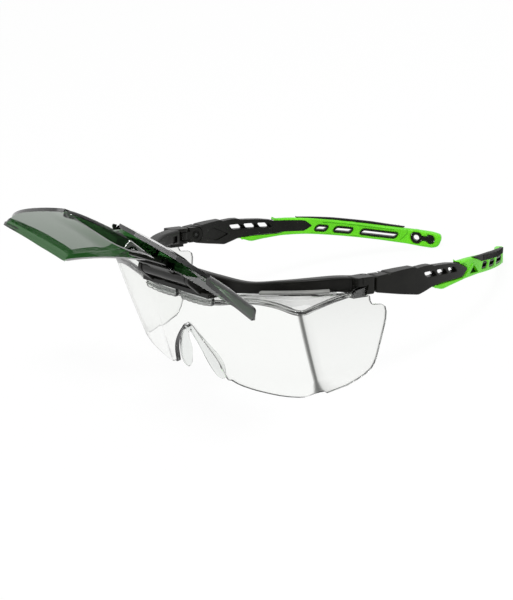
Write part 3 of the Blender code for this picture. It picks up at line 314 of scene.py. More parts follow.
def stroke(points, width):
    """The outline of a line of some width, with square ends."""
    left = []
    right = []
    for i, point in enumerate(points):
        way = (Vector(points[min(len(points) - 1, i + 1)]) - Vector(points[max(0, i - 1)])).normalized()
        side = Vector((-way.y, way.x)) * width / 2
        left.append(tuple(Vector(point) + side))
        right.append(tuple(Vector(point) - side))
    return left + right[::-1]


def add_piece(name, mesh, material, body, node=None, sharp=SHARP, side=None):
    """Puts a mesh in worn millimetres into the model as a finished piece that rides on a body and takes
    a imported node's place. A piece with a side is drawn on the left, and the names end in that side."""
    if side:
        name += "_" + side
        node = node and node + "_" + side
    if side == "right":
        mesh.transform(MIRROR)
        mesh.flip_normals()
    mesh.transform(WORN)
    mesh.validate()
    mesh.materials.clear()
    mesh.materials.append(material)
    mesh.shade_smooth()
    mesh.set_sharp_from_angle(angle=math.radians(sharp))
    piece = bpy.data.objects.new(name, mesh)
    PIECES.objects.link(piece)
    piece.modifiers.new("even_shading", "WEIGHTED_NORMAL").keep_sharp = True
    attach(piece, body)
    if node:
        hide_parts(node)


def written(name, bm):
    """The mesh that a bmesh holds, which is then freed."""
    mesh = bpy.data.meshes.new(name)
    bm.to_mesh(mesh)
    bm.free()
    return mesh


def to_mesh(name, bm):
    """A mesh of a closed form, with its doubles merged and its faces outward."""
    bmesh.ops.remove_doubles(bm, verts=bm.verts, dist=MERGE)
    bm.normal_update()
    bmesh.ops.recalc_face_normals(bm, faces=bm.faces)
    if bm.calc_volume(signed=True) < 0:
        bmesh.ops.reverse_faces(bm, faces=bm.faces)
    return written(name, bm)


def taken(holder):
    """The evaluated mesh of a helper object, which is then removed."""
    bpy.context.scene.collection.objects.link(holder)
    bpy.context.view_layer.update()
    mesh = bpy.data.meshes.new_from_object(holder.evaluated_get(bpy.context.evaluated_depsgraph_get()))
    bpy.data.objects.remove(holder)
    return mesh


def worked_in(name, mesh, *modifiers):
    """The mesh with modifiers worked in, each given as its kind and its settings."""
    holder = bpy.data.objects.new(name, mesh)
    for kind, settings in modifiers:
        modifier = holder.modifiers.new(kind.lower(), kind)
        for setting, value in settings.items():
            setattr(modifier, setting, value)
    return taken(holder)


def bevel(width, **settings):
    """The modifier that rounds sharp edges by a width."""
    return "BEVEL", {"width": width, "segments": 2, "limit_method": "ANGLE", "angle_limit": BEVEL_ANGLE,
                     **settings}


def cut(mesh, tools, operation="DIFFERENCE"):
    """A mesh with closed tool meshes cut out of it or joined to it."""
    made = []
    for i, tool_mesh in enumerate(tools):
        tool = bpy.data.objects.new("tool_%d" % i, tool_mesh)
        bpy.context.scene.collection.objects.link(tool)
        made.append(tool)
    steps = [("BOOLEAN", {"operation": operation, "solver": "EXACT", "object": tool}) for tool in made]
    result = worked_in("shape", mesh, *steps)
    for tool in made:
        bpy.data.objects.remove(tool)
    return result


def box_mesh(low, high):
    """A box between two corners."""
    bm = bmesh.new()
    size = Vector(high) - Vector(low)
    middle = Matrix.Translation((Vector(low) + Vector(high)) / 2)
    bmesh.ops.create_cube(bm, size=1, matrix=middle @ Matrix.Diagonal((*size, 1)))
    return to_mesh("box", bm)


def rod_mesh(start, end, radius):
    """A round rod between two points."""
    start, end = Vector(start), Vector(end)
    along = end - start
    matrix = Matrix.Translation((start + end) / 2) @ along.to_track_quat("Z", "Y").to_matrix().to_4x4()
    bm = bmesh.new()
    bmesh.ops.create_cone(bm, cap_ends=True, segments=ROD_SIDES, radius1=radius, radius2=radius,
                          depth=along.length, matrix=matrix)
    return to_mesh("rod", bm)


def loft(rings):
    """A solid through closed rings of equal length, with both ends capped."""
    bm = bmesh.new()
    rows = [[bm.verts.new(point) for point in ring] for ring in rings]
    count = len(rows[0])
    for row, after in zip(rows, rows[1:]):
        for i in range(count):
            bm.faces.new((row[i], row[(i + 1) % count], after[(i + 1) % count], after[i]))
    bm.faces.new(list(reversed(rows[0])))
    bm.faces.new(rows[-1])
    return to_mesh("loft", bm)


def sheet_mesh(rows):
    """An open surface through rows of points, mirrored over the middle; a row may stop short with None."""
    bm = bmesh.new()
    grid = []
    for row in rows:
        left = [None if point is None else bm.verts.new(point) for point in row]
        right = [None if point is None else bm.verts.new((-point.x, point.y, point.z)) for point in row[1:]]
        grid.append(list(reversed(right)) + left)
    for row, after in zip(grid, grid[1:]):
        for i in range(len(row) - 1):
            corners = (after[i], after[i + 1], row[i + 1], row[i])
            if None not in corners:
                bm.faces.new(corners)
    bmesh.ops.delete(bm, geom=[v for v in bm.verts if not v.link_faces], context="VERTS")
    bmesh.ops.remove_doubles(bm, verts=bm.verts, dist=SHEET_MERGE)
    bm.normal_update()
    return written("sheet", bm)


def add_line(curve, points):
    """Adds a straight-sided line through points to a curve."""
    spline = curve.splines.new("POLY")
    spline.points.add(len(points) - 1)
    for point, place in zip(spline.points, points):
        point.co = (*place, 1)
    return spline


def flat_plate(outlines, half, edge, steps=3):
    """A flat plate with round edges: the first outline is its edge, the others are holes."""
    curve = bpy.data.curves.new("plate", "CURVE")
    curve.dimensions = "2D"
    curve.fill_mode = "BOTH"
    curve.extrude = half - edge
    curve.bevel_depth = edge
    curve.bevel_resolution = steps
    curve.offset = -edge
    for outline in outlines:
        add_line(curve, [(x, y, 0) for x, y in outline]).use_cyclic_u = True
    mesh = taken(bpy.data.objects.new("plate_curve", curve))
    bm = bmesh.new()
    bm.from_mesh(mesh)
    bpy.data.meshes.remove(mesh)
    bmesh.ops.remove_doubles(bm, verts=bm.verts, dist=SHEET_MERGE)
    bm.normal_update()
    return bm


def plate_mesh(outlines, half, edge, steps=3, place=Matrix()):
    """A flat plate as a closed mesh, put into place."""
    mesh = to_mesh("plate", flat_plate(outlines, half, edge, steps))
    mesh.transform(place)
    return mesh


def across_at_x(x):
    """Turns what is drawn flat as (y, z) upright, facing across the glasses at x."""
    return Matrix(((0, 0, 1, x), (1, 0, 0, 0), (0, 1, 0, 0), (0, 0, 0, 1)))


def side_plate(outline, x0, x1, edge=0.0):
    """A plate across the glasses with round edges: an outline in (y, z) between two x."""
    return plate_mesh([outline], (x1 - x0) / 2, edge, place=across_at_x((x0 + x1) / 2))


def mirrored(mesh):
    """The mesh on the other side of the glasses."""
    other = mesh.copy()
    other.transform(MIRROR)
    other.flip_normals()
    return other


def joined(meshes):
    """Several meshes as one, kept as separate shells."""
    bm = bmesh.new()
    for mesh in meshes:
        bm.from_mesh(mesh)
    return written("joined", bm)


def along_path(points, unit, count, material):
    """Copies of a small part, evenly spaced and turned along a path by Geometry Nodes, as one mesh."""
    curve = bpy.data.curves.new("path", "CURVE")
    curve.dimensions = "3D"
    add_line(curve, points)
    carrier = bpy.data.objects.new("path", curve)
    part = bpy.data.objects.new("unit", unit)
    bpy.context.scene.collection.objects.link(part)
    tree = bpy.data.node_groups.new("repeat_along_path", "GeometryNodeTree")
    inputs = {}
    for name, kind in (("Path", "Geometry"), ("Count", "Int"), ("Unit", "Object"), ("Finish", "Material")):
        socket = tree.interface.new_socket(name, in_out="INPUT", socket_type="NodeSocket" + kind)
        inputs[name] = socket.identifier
    tree.interface.new_socket("Row", in_out="OUTPUT", socket_type="NodeSocketGeometry")
    given = tree.nodes.new("NodeGroupInput").outputs
    places = add_node(tree, "GeometryNodeCurveToPoints",
                      links=[("Curve", given["Path"]), ("Count", given["Count"])], mode="COUNT").outputs
    shape = add_node(tree, "GeometryNodeObjectInfo", links=[("Object", given["Unit"])]).outputs["Geometry"]
    copies = add_node(tree, "GeometryNodeInstanceOnPoints",
                      links=[("Points", places["Points"]), ("Instance", shape),
                             ("Rotation", places["Rotation"])])
    real = add_node(tree, "GeometryNodeRealizeInstances", links=[("Geometry", copies.outputs["Instances"])])
    dressed = add_node(tree, "GeometryNodeSetMaterial",
                       links=[("Geometry", real.outputs["Geometry"]), ("Material", given["Finish"])])
    add_node(tree, "NodeGroupOutput", links=[("Row", dressed.outputs["Geometry"])])
    modifier = carrier.modifiers.new("repeat", "NODES")
    modifier.node_group = tree
    for name, value in (("Count", count), ("Unit", part), ("Finish", material)):
        modifier[inputs[name]] = value
    row = taken(carrier)
    bpy.data.objects.remove(part)
    return row


# Clear lens: one sheet from under the brow bar out to the rim and down the front and sides

GAP = 0.3  # clearance between separate pieces
LENS_WALL = 2.2
LENS_EDGE = 0.4
# Outer surface in plan: its corner at the rim, its corner at the foot and the middle of its rim
LENS_CORNER_X = 75.5
LENS_CORNER_Y = -24.6
LENS_FOOT_X = 71.2
LENS_FOOT_Y = -11.1
LENS_CENTRE_Y = -33.8
# Heights of the rim and of the lower edge, and how far back that edge lies, by distance from the middle
LENS_TOP = ((0, -11.2), (15, -11.4), (25, -10.6), (35, -8.6), (45, -6.7), (55, -5.6), (65, -5.8),
            (75.5, -7.9))
LENS_BOTTOM = ((0, -48), (20.5, -48.4), (27, -50.6), (34, -51.8), (41, -52.1), (48, -52.0), (55, -51.3),
               (62.4, -49.8), (71.2, -45.8))
LENS_FOOT = ((0, -27), (10, -26.6), (20.5, -24.4), (27, -21.9), (34, -19), (41, -16.8), (48, -14.9),
             (55, -13.3), (62.4, -12), (71.2, -11.1))
NOSE_ARCH = ((0, -25.9), (3, -27), (5.3, -29), (10.8, -34), (15.5, -39), (18.4, -43.5), (19.8, -47),
             (21, -49.4))
NOSE_HALF = 21
LENS_BULGE = 0.4  # how far the surface stands out halfway down
SIDE_REAR_Y = 24
SIDE_REAR_X = 77.4
# Heights of a side shield's upper and lower edge by y
SIDE_TOP = ((-24.6, -7.9), (-11, -4.5), (2.4, -2.3), (9, -1.1), (24, -1.1))
SIDE_BOTTOM = ((-11.1, -45.8), (-5, -46.1), (0, -47.2), (8, -49), (24, -49))
# Rear edge of a side shield from its top down: y, z
SIDE_REAR = ((9.4, -1.1), (9.4, -2.3), (9.4, -3.4), (9.4, -4.9), (12.0, -5.2), (12.4, -7.6), (13.4, -9.2),
             (18.4, -9.6), (20.3, -10.8), (20.9, -13), (20.7, -16.2), (20.1, -18.8), (19.4, -21.4),
             (18.6, -24.6), (17.7, -27.8), (17.1, -30.4), (16.4, -33), (15.4, -35.4), (14.1, -37.6),
             (11.0, -40), (7.6, -41.8), (2.4, -44.2), (-3, -45.7), (-7, -46.6))
# Columns of the front, closer together over the nose arch
LENS_FRONTS = ([0, 1.5, 3, 4.5, 6, 7.5, 9, 10.5, 12, 13.2, 14.4, 15.6, 16.8, 18, 19, 20, 21, 22.2]
               + [24.5 + 3.2 * k for k in range(15)] + [71.6])
BEND_REACH = 3.2  # how far the corner bend runs back along the side
BEND_STEPS = 10
SIDE_STEPS = 14
BEND_MIDDLE = len(LENS_FRONTS) + BEND_STEPS // 2 - 1  # the column in the middle of the corner bend
SIDE_ROUNDS = 6  # rounds in which a place on the side shield settles
SIDE_LIFT = 0.08  # share of the rim's rise that the bend has taken up at its end
SWELL_FADE = 4  # the swell of the upper edge has gone after one part in this many of the height
ROOF_DROP = 0.25  # the roof lies this far under the rim
ROOF_INSET = 2.0  # and begins this far inside it
ROOF_CLIMB = 0.6  # steepest slope from there to the brow bar
ROOF_SHARES = (0, 0.35, 0.7, 1)  # places of its rows on that way
ROOF_REACH = 0.86  # how far along the brow bar the roof goes
ROOF_END_Y = 3.4
# Stations along the brow bar for places on the rim of the front, by x, and of the sides, by y
ROOF_STATIONS = ((0, 0), (66, 11), (71, 12), (75.5, 12.5))
ROOF_SIDE_STATIONS = ((-24.6, 12.5), (-20.5, 13), (-15, 14), (-10, 15), (-5, 16), (0, 17), (ROOF_END_Y, 18))
# Brow bar from the middle to the hinge: x, y and z of its middle line, its height and its depth
BROW = ((0, -29.4, -4.4, 8.4, 4.0), (20, -28.4, -4.4, 7.6, 4.0), (38, -24.6, -3.8, 5.2, 4.4),
        (52, -18.2, -2.0, 5.6, 5.0), (62, -9, -0.7, 6.2, 6.0), (67.4, 0, -0.1, 6.4, 6.4),
        (71.0, 6.8, -0.5, 7.0, 6.4))


def lens_front(x, t):
    """Outer surface of the front: x across at the top corner's scale, t from the rim down to the edge."""
    share = x / LENS_CORNER_X
    x_low = share * LENS_FOOT_X
    top = Vector((x, LENS_CENTRE_Y + (LENS_CORNER_Y - LENS_CENTRE_Y) * share**4, curve_at(LENS_TOP, x)))
    low = Vector((x_low, curve_at(LENS_FOOT, x_low), curve_at(LENS_BOTTOM, x_low)))
    depth = 1.0
    if x_low < NOSE_HALF:
        arch = curve_at(NOSE_ARCH, x_low)
        depth = (top.z - arch) / (top.z - low.z)
    s = t * depth
    point = top.lerp(low, s)
    point.y -= LENS_BULGE * 4 * s * (1 - s)
    return point


def side_surface(y, z):
    """Outer surface of a side shield at a place y back and z up."""
    t = 0.5
    for _ in range(SIDE_ROUNDS):
        corner_y = LENS_CORNER_Y + (LENS_FOOT_Y - LENS_CORNER_Y) * t
        share = (y - corner_y) / (SIDE_REAR_Y - corner_y)
        y_top = LENS_CORNER_Y + (SIDE_REAR_Y - LENS_CORNER_Y) * share
        y_low = LENS_FOOT_Y + (SIDE_REAR_Y - LENS_FOOT_Y) * share
        high = curve_at(SIDE_TOP, y_top)
        low = curve_at(SIDE_BOTTOM, y_low)
        t = max(0.0, min(1.0, (high - z) / (high - low)))
    corner_x = LENS_CORNER_X + (LENS_FOOT_X - LENS_CORNER_X) * t
    return Vector((corner_x + (SIDE_REAR_X - corner_x) * share + LENS_BULGE * 4 * t * (1 - t), y, z))


def brow_point(t):
    """Middle of the brow bar at t from 0 at the centre to 1 at the hinge: place, height and depth."""
    spot = t * (len(BROW) - 1)
    return [curve_at([(i, row[k]) for i, row in enumerate(BROW)], spot) for k in range(5)]


def brow_outward(t):
    """Plan direction from the middle of the brow bar out towards the lens."""
    if t == 0:
        return Vector((0, -1))
    ahead = brow_point(min(1.0, t + 0.02))
    behind = brow_point(max(0.0, t - 0.02))
    along = Vector((ahead[0] - behind[0], ahead[1] - behind[1])).normalized()
    return Vector((along.y, -along.x))


def along_bar(t, section, lift):
    """A section drawn as (outward, up) set on the brow bar's line at t, raised by lift."""
    x, y = brow_point(t)[:2]
    out = brow_outward(t)
    return [(x + out.x * across, y + out.y * across, lift + up) for across, up in section]


def lens_rows():
    """Half of the lens's outer sheet below its rim: rows from the top down, each from the middle back."""
    high = SIDE_REAR[0][1]
    low = SIDE_REAR[-1][1]
    start_top = curve_at(SIDE_TOP, LENS_CORNER_Y + BEND_REACH)
    rows = []
    for rear_y, rear_z in SIDE_REAR:
        t = (high - rear_z) / (high - low)
        front = [lens_front(x, t) for x in LENS_FRONTS]
        corner = lens_front(LENS_CORNER_X, t)
        lift = (high - LENS_TOP[-1][1]) * SIDE_LIFT * (1 - t)
        start = side_surface(corner.y + BEND_REACH, corner.z + lift)
        turn = [bend(front[-1], corner, start, k / BEND_STEPS) for k in range(1, BEND_STEPS)]
        side = []
        for k in range(SIDE_STEPS + 1):
            u = k / SIDE_STEPS
            y = start.y + (rear_y - start.y) * u
            z = start.z + (rear_z - start.z) * u
            swell = curve_at(SIDE_TOP, y) - (start_top + (high - start_top) * u)
            z += swell * max(0.0, 1 - SWELL_FADE * t)
            side.append(side_surface(y, z))
        rows.append(front + turn + side)
    return rows


def roof_rows(rim, below):
    """Rows of the roof from under the brow bar out to the rim, and the bend over it down to the front."""
    made = [[] for _ in range(1 + len(ROOF_SHARES) + len(RIM_BEND))]
    for j, (edge, front) in enumerate(zip(rim, below)):
        on_front = j <= BEND_MIDDLE
        if not on_front and edge.y > ROOF_END_Y:
            for row in made:
                row.append(None)
            continue
        station = linear_at(ROOF_STATIONS, edge.x) if on_front else linear_at(ROOF_SIDE_STATIONS, edge.y)
        t = ROOF_REACH * station / ROOF_SIDE_STATIONS[-1][1]
        bx, by, bz, tall, deep = brow_point(t)
        out = brow_outward(t)
        inner = Vector((bx, by, bz - tall / 2 - GAP))
        at_bar = Vector((bx + out.x * deep / 2, by + out.y * deep / 2, inner.z))
        inward = (at_bar - edge).xy.normalized()
        start = edge + Vector((*(inward * ROOF_INSET), -ROOF_DROP))
        at_bar.z = min(inner.z, start.z + ROOF_CLIMB * (at_bar.xy - start.xy).length)
        places = [inner] + [at_bar.lerp(start, share) for share in ROOF_SHARES]
        places += [bend(start, edge, front, u) for u in RIM_BEND]
        for row, point in zip(made, places):
            row.append(point)
    return made


# Places on the bend over the rim, and the painted shade of each on the front and on the side, standing in for
# the dark lines that refraction draws along the rim
RIM_BEND = (0.08, 0.2, 0.4, 0.5, 0.62, 0.74, 0.84, 0.92)
RIM_FRONT_SHADE = (0.1, 0.85, 0.9, 0.8, 0.2, 0.15, 0.2, 0.9)
RIM_SIDE_SHADE = (0.1, 0.85, 0.2, 0.1, 0.1, 0.75, 0.3, 0.1)
# Faint painted shade over the roof
ROOF_SHADE = 0.05
RIM_SHARE = 0.02  # where the sheet begins between its first two rows behind the roof's end
# How much painted shade the moulding takes by distance in mm from the middle of the corner bend, ahead of it
# and behind it, standing in for the dark band that the bend's refraction gives
CORNER_SHADE_AHEAD = ((0, 0.92), (0.7, 0.85), (1.1, 0.1), (1.6, 0.0))
CORNER_SHADE_BEHIND = ((0, 0.92), (0.6, 0.85), (1.1, 0.28), (2.4, 0.14), (5.0, 0.04), (7.0, 0.0))
# Least painted shade of a side shield by height, more towards its top
SHIELD_SHADE = ((-60, 0.02), (-40, 0.03), (-20, 0.06), (-9, 0.11), (-4, 0.14))
# The number of lowest rows over which the painted shade of the corner widens, and by how much
FOOT_ROWS = 5
FOOT_SPREAD = 2.2
# Painted shade of the moulding's cut edge and of its bevel: on top, at the corners, in the nose arch and
# elsewhere
TOP_EDGE_SHADE = (0.2, 0.5)
CORNER_EDGE_SHADE = (0.3, 0.72)
ARCH_EDGE_SHADE = (0.3, 0.6)
PLAIN_EDGE_SHADE = (0.12, 0.3)
# Where the top begins, where the corners begin and where the nose arch ends
TOP_Z = -9
CORNER_X, CORNER_Y = 64, -13
ARCH_X = 20.5


def lens_painted_shade(rows, roof_count):
    """Painted shade share for each place of the sheet, row by row."""
    rim = roof_count - len(RIM_BEND)
    greys = []
    for k, row in enumerate(rows):
        foot = max(0.0, (k - (len(rows) - FOOT_ROWS)) / (FOOT_ROWS - 1))
        line = []
        for j, point in enumerate(row):
            if point is None:
                grey = 0.0
            elif k < rim:
                grey = ROOF_SHADE
            elif k < roof_count:
                grey = (RIM_FRONT_SHADE if j < BEND_MIDDLE else RIM_SIDE_SHADE)[k - rim]
            else:
                away = (point - row[BEND_MIDDLE]).length / (1 + FOOT_SPREAD * foot)
                grey = linear_at(CORNER_SHADE_AHEAD if j < BEND_MIDDLE else CORNER_SHADE_BEHIND, away)
                if j > BEND_MIDDLE:
                    grey = max(grey, linear_at(SHIELD_SHADE, point.z))
            line.append(grey)
        greys.append(line)
    return greys


def edge_painted_shade(place):
    """Painted shade shares of the moulding's cut edge and its bevel, standing in for the dark that refraction
    through the wall gives there.
    """
    if place.z > TOP_Z:
        return TOP_EDGE_SHADE
    if abs(place.x) > CORNER_X and place.y > CORNER_Y:
        return CORNER_EDGE_SHADE
    return ARCH_EDGE_SHADE if abs(place.x) < ARCH_X else PLAIN_EDGE_SHADE


def build_lens():
    """The whole moulding, with painted shade shares on its surface and edges held in an attribute that its
    material reads.
    """
    low_rows = lens_rows()
    roof = roof_rows(low_rows[0], low_rows[1])
    for j, point in enumerate(roof[0]):
        if point is None:
            # No roof here: the next row moves up to where the rim would be
            low_rows[1][j] = low_rows[0][j].lerp(low_rows[1][j], RIM_SHARE)
    rows = roof + low_rows[1:]
    mesh = sheet_mesh(rows)
    tree = KDTree(sum(len(row) for row in rows) * 2)
    values = []
    for row, greys in zip(rows, lens_painted_shade(rows, len(roof))):
        for point, grey in zip(row, greys):
            if point is not None:
                for mirror in (1, -1):
                    tree.insert((mirror * point.x, point.y, point.z), len(values))
                    values.append(grey)
    tree.balance()
    # Painted shade: each point of the sheet carries its share, which the material turns into grey
    share = mesh.attributes.new("painted_shade_share", "FLOAT", "POINT")
    for vert in mesh.vertices:
        share.data[vert.index].value = values[tree.find(vert.co)[1]]
    # Faces of the sheet, of the cut edge and of its bevel are told apart by material index
    for _ in range(3):
        mesh.materials.append(CLEAR)
    mesh = worked_in("lens", mesh,
                     ("SOLIDIFY", {"thickness": LENS_WALL, "offset": -1, "use_even_offset": True,
                                   "material_offset_rim": 1}),
                     bevel(LENS_EDGE, material=2, use_clamp_overlap=False))
    points = [item.value for item in mesh.attributes["painted_shade_share"].data]
    mesh.attributes.remove(mesh.attributes["painted_shade_share"])
    share = mesh.attributes.new("painted_shade_share", "FLOAT", "CORNER")
    for face in mesh.polygons:
        for loop in face.loop_indices:
            if face.material_index:
                value = edge_painted_shade(face.center)[face.material_index - 1]
            else:
                value = points[mesh.loops[loop].vertex_index]
            share.data[loop].value = value
        face.material_index = 0
    add_piece("lens_moulding", mesh, CLEAR, "frame", "clear_lens", 40)


build_lens()


# Temples

PIN_X = FOLD_PIN[0]
PATH_START = (PIN_X + 5.1, FOLD_PIN[1] - 2.2)  # the front end of a temple's outer face in plan
PATH_STEP = 0.5
TEMPLE_LENGTH = 146
BEND_A = TEMPLE_LENGTH - 31
TIP_A = TEMPLE_LENGTH - 13
# By the distance a along the temple: its heading in plan, how far it drops, and how thick it is
HEADINGS = ((0, -6), (20, 0), (36, 8.2), (53, 14.3), (75, 23.8), (95, 33.6), (BEND_A, 40.3), (TIP_A, 44.5),
            (TEMPLE_LENGTH, 49.2))
DROP = ((0, 0), (40, 0.1), (53, -0.15), (75, -0.8), (100, -2.9), (BEND_A + 5, -4.9), (TIP_A, -6.0),
        (TEMPLE_LENGTH, -7.2))
THICKNESS = ((13, 7.6), (22, 6.0), (32, 4.4), (60, 3.8), (TEMPLE_LENGTH, 4.2))
# Outlines and places on a temple are (a, z), z over its middle line; depths count from its outer face
PLATE_START = 4.9
PLATE = rounded(((PLATE_START, 2.9), (11.2, 3.5), (11.9, 3.0), (12.7, 3.7), (19, 4.3), (26.2, 4.7),
                 (27.8, 3.9), (33.6, 4.4), (37.2, 4.3), (38.4, 3.6), (50, 3.3), (56.3, 2.6), (64.6, -0.9),
                 (60.2, -4.0), (44, -4.7), (38.4, -5.3), (33, -7.0), (28.7, -8.1), (18, -6.5),
                 (PLATE_START, -4.2)), 1.2)
# Its slots, as the place of each one's middle and its length
PLATE_SLOTS = ((36.0, 6.4), (44.0, 5.8), (51.6, 5.2))
PLATE_SLOT_Z = 0.2
SLOT_HALF = 1.25
SLOT_SLANT = 1.1  # how far a slot's ends lean over
SLOT_ROUND = 1.15
SLOT_WEB = 1.0  # depth of the straight part of a slot; behind it the rear end flares
SLOT_FLARE = 2.0  # how far it has opened at the inner face
SLOT_FLARE_LENGTH = 2.5
PLATE_EDGE = 0.45
# Shallow tray on the inner face of the plate
PLATE_TRAY = rounded(((19.8, 1.9), (31.5, -3.0), (23.3, -5.5), (13.6, -2.9)), 1.6)
TRAY_DEPTH = 0.7
LINK_BACK_X = PIN_X - 9.8  # the room cut in the plate for the hinge link, from its inner side
LINK_FACE_X = PIN_X + 1.7  # to its outer side
TILT_BORE_X = PIN_X + 4.5  # outer end of the tilt pin's bore
TILT_PLAY = 0.8  # room behind the link's flat part
TILT_NOSE_R = 3.8
TILT_BORE_R = 1.2
# Outline of the sleeve: along the plate, its top, its end and its lower edge
SLEEVE_ALONG_PLATE = ((37.6, -5.75), (44, -5.1), (60.9, -4.4), (65.2, -0.9), (56.9, 2.95))
SLEEVE_TOP = ((57.5, 3.1), (66, 3.3), (90, 3.1), (110, 2.8), (TIP_A, 2.6), (TIP_A + 9, 2.4))
SLEEVE_END = ((TEMPLE_LENGTH, 1.6), (TEMPLE_LENGTH + 0.6, -0.6), (TEMPLE_LENGTH - 0.8, -4.6))
SLEEVE_LOW = ((44.8, -8.0), (51, -6.9), (62, -5.5), (75, -4.9), (95, -4.7), (BEND_A, -4.7),
              (BEND_A + 13, -5.1), (TIP_A + 3, -5.7), (TIP_A + 9, -5.8))
# Its long windows, from and to
SLEEVE_SLOTS = ((81.1, 85.9), (91.2, 99.1), (105.2, BEND_A + 7.6))
SLEEVE_SLOT_Z = -1.45
SLEEVE_SLOT_HALF = 0.75
SLEEVE_SLOT_SLANT = -1.0  # the sleeve's windows lean the other way
SLEEVE_EDGE = 1.0
LINER_WALL = 0.75
# Triangular pocket with a raised rib round it, over the tongue
WINDOW = rounded(((65.6, -3.6), (74.6, -3.7), (69.8, 0.2)), 1.0)
WINDOW_DEPTH = 1.6
WINDOW_RIB = rounded(((61.6, -4.1), (69.3, 1.5), (77.2, -4.3)), 1.6)
WINDOW_RIB_PROUD = 0.35
TONGUE = ((56.8, 2.4), (74.4, 2.3), (78.6, -0.3), (74.0, -3.2), (64, -3.5), (56.8, -3.6))
TONGUE_WALL = 1.1
TONGUE_PROUD = 0.15
# Marks on the inner face of the sleeve: a groove along it and a seam across it near the tip
SLEEVE_GROOVE = stroke(((84, 1.7), (96.1, 1.8), (109.2, 1.5), (121.8, 1.4)), 0.5)
SLEEVE_SEAM = stroke(((125, -3.6), (127.4, -1.2), (128.9, 0.9), (128.1, 3.6)), 0.35)
PAD_OUTLINE = ((69.4, 3.6), (78.6, 0.7), (104, 0.6), (BEND_A + 9, 1.0), (BEND_A + 13, 3.4), (110, 4.1),
               (90, 4.2))
PAD_DEPTH = 1.5
PAD_FACE = -0.38  # it stands this far out of the sleeve
PAD_RIBS = 26
PAD_RIB = (0.22, 1.35)  # half width and half height of a rib
RIB_FACE = -0.36
RIB_LINE_Z = 2.3
TIP_RING_A = TIP_A + 0.5
TIP_DOT_A = TIP_A + 7.8
TIP_Z = -1.4
TIP_RING_R = 2.8
TIP_HOLE_R = 1.5
TIP_DOT_R = 2.1
TIP_NECK_HALF = 0.9
FIT = 0.12  # gap drawn between two plastics that are moulded together
PAST = 3.0  # how far a cutting tool reaches past the face that it cuts
GROOVE_DEPTH = 0.35
SEAM_DEPTH = 0.3
STATION_STEP = 1.5  # a plate is cut this often before it is bent round the path


def walk_path():
    """Places along the outer face of a temple, every half millimetre."""
    places = [Vector(PATH_START)]
    for k in range(int((TEMPLE_LENGTH + 6) / PATH_STEP)):
        heading = math.radians(linear_at(HEADINGS, (k + 0.5) * PATH_STEP))
        places.append(places[-1] + PATH_STEP * Vector((-math.sin(heading), math.cos(heading))))
    return places


PATH = walk_path()


def temple_point(a, z, inward):
    """A place on a temple: a along it, z over its middle line, inward from the outer face."""
    k = min(len(PATH) - 2, max(0, int(a / PATH_STEP)))
    spot = PATH[k].lerp(PATH[k + 1], a / PATH_STEP - k)
    heading = math.radians(linear_at(HEADINGS, a))
    inner = Vector((-math.cos(heading), -math.sin(heading)))
    place = spot + inner * inward
    return Vector((place.x, place.y, curve_at(DROP, a) + z))


def from_outer(depth):
    """The same depth from the outer face all along the temple."""
    return lambda a: depth


def from_inner(depth):
    """Depth beyond the inner face, whose own depth changes along the temple."""
    return lambda a: linear_at(THICKNESS, a) + depth


def bent(outlines, half, edge, outer, inner, steps=3):
    """A plate drawn as (a, z), cut at regular stations and bent round the temple's path, its two faces
    at the depths that outer and inner give for each a. The drawn half thickness only sets how far its
    round edges reach in depth."""
    bm = flat_plate(outlines, half, edge, steps)
    low = min(v.co.x for v in bm.verts)
    high = max(v.co.x for v in bm.verts)
    station = math.ceil(low / STATION_STEP) * STATION_STEP + 0.013
    while station < high:
        if station - low > 0.2 and high - station > 0.2:
            bmesh.ops.bisect_plane(bm, geom=bm.verts[:] + bm.edges[:] + bm.faces[:], dist=0.0001,
                                   plane_co=(station, 0, 0), plane_no=(1, 0, 0))
        station += STATION_STEP
    for vert in bm.verts:
        a, z, face = vert.co
        share = (half - face) / (2 * half)
        vert.co = temple_point(a, z, outer(a) + (inner(a) - outer(a)) * share)
    return to_mesh("bent", bm)


def carved(outline, outer, inner):
    """A prism on the temple: an outline in (a, z) between two depths from the outer face."""
    return bent([outline], 1.0, 0.0, outer, inner)


def slanted_slot(a0, a1, z, half, slant, radius, grow=0.0):
    """A slot with slanted ends and round corners, grown all round."""
    return rounded([(a0 - slant - grow, z + half + grow), (a1 - slant + grow, z + half + grow),
                    (a1 + slant + grow, z - half - grow), (a0 + slant - grow, z - half - grow)], radius, 4)


def sleeve_slot(a0, a1, radius, grow=0.0):
    return slanted_slot(a0, a1, SLEEVE_SLOT_Z, SLEEVE_SLOT_HALF, SLEEVE_SLOT_SLANT, radius, grow)


def insert_outline(grow=0.0):
    """The dumb-bell insert at the tip: a ring, a neck and a dot."""
    ring = TIP_RING_R + grow
    dot = TIP_DOT_R + grow
    neck = TIP_NECK_HALF + grow
    open_ring = math.asin(neck / ring)
    open_dot = math.asin(neck / dot)
    return (arc(TIP_RING_A, TIP_Z, ring, open_ring, 2 * math.pi - open_ring, 26)
            + arc(TIP_DOT_A, TIP_Z, dot, -math.pi + open_dot, math.pi - open_dot, 26))


def slot_flare(end):
    """A wedge that opens the rear end of a plate slot towards the inner face, past the thin outer web."""
    start = end - SLOT_FLARE_LENGTH
    high, low = PLATE_SLOT_Z + SLOT_HALF - 0.2, PLATE_SLOT_Z - SLOT_HALF + 0.2
    rings = []
    for depth, way in ((SLOT_WEB, 0.0), (from_inner(0.6)(end), SLOT_FLARE)):
        rings.append([temple_point(a, z, depth) for a, z in
                      ((start, low), (start, high), (end - SLOT_SLANT - 0.5 + way, high),
                       (end + SLOT_SLANT - 0.5 + way, low))])
    return loft(rings)


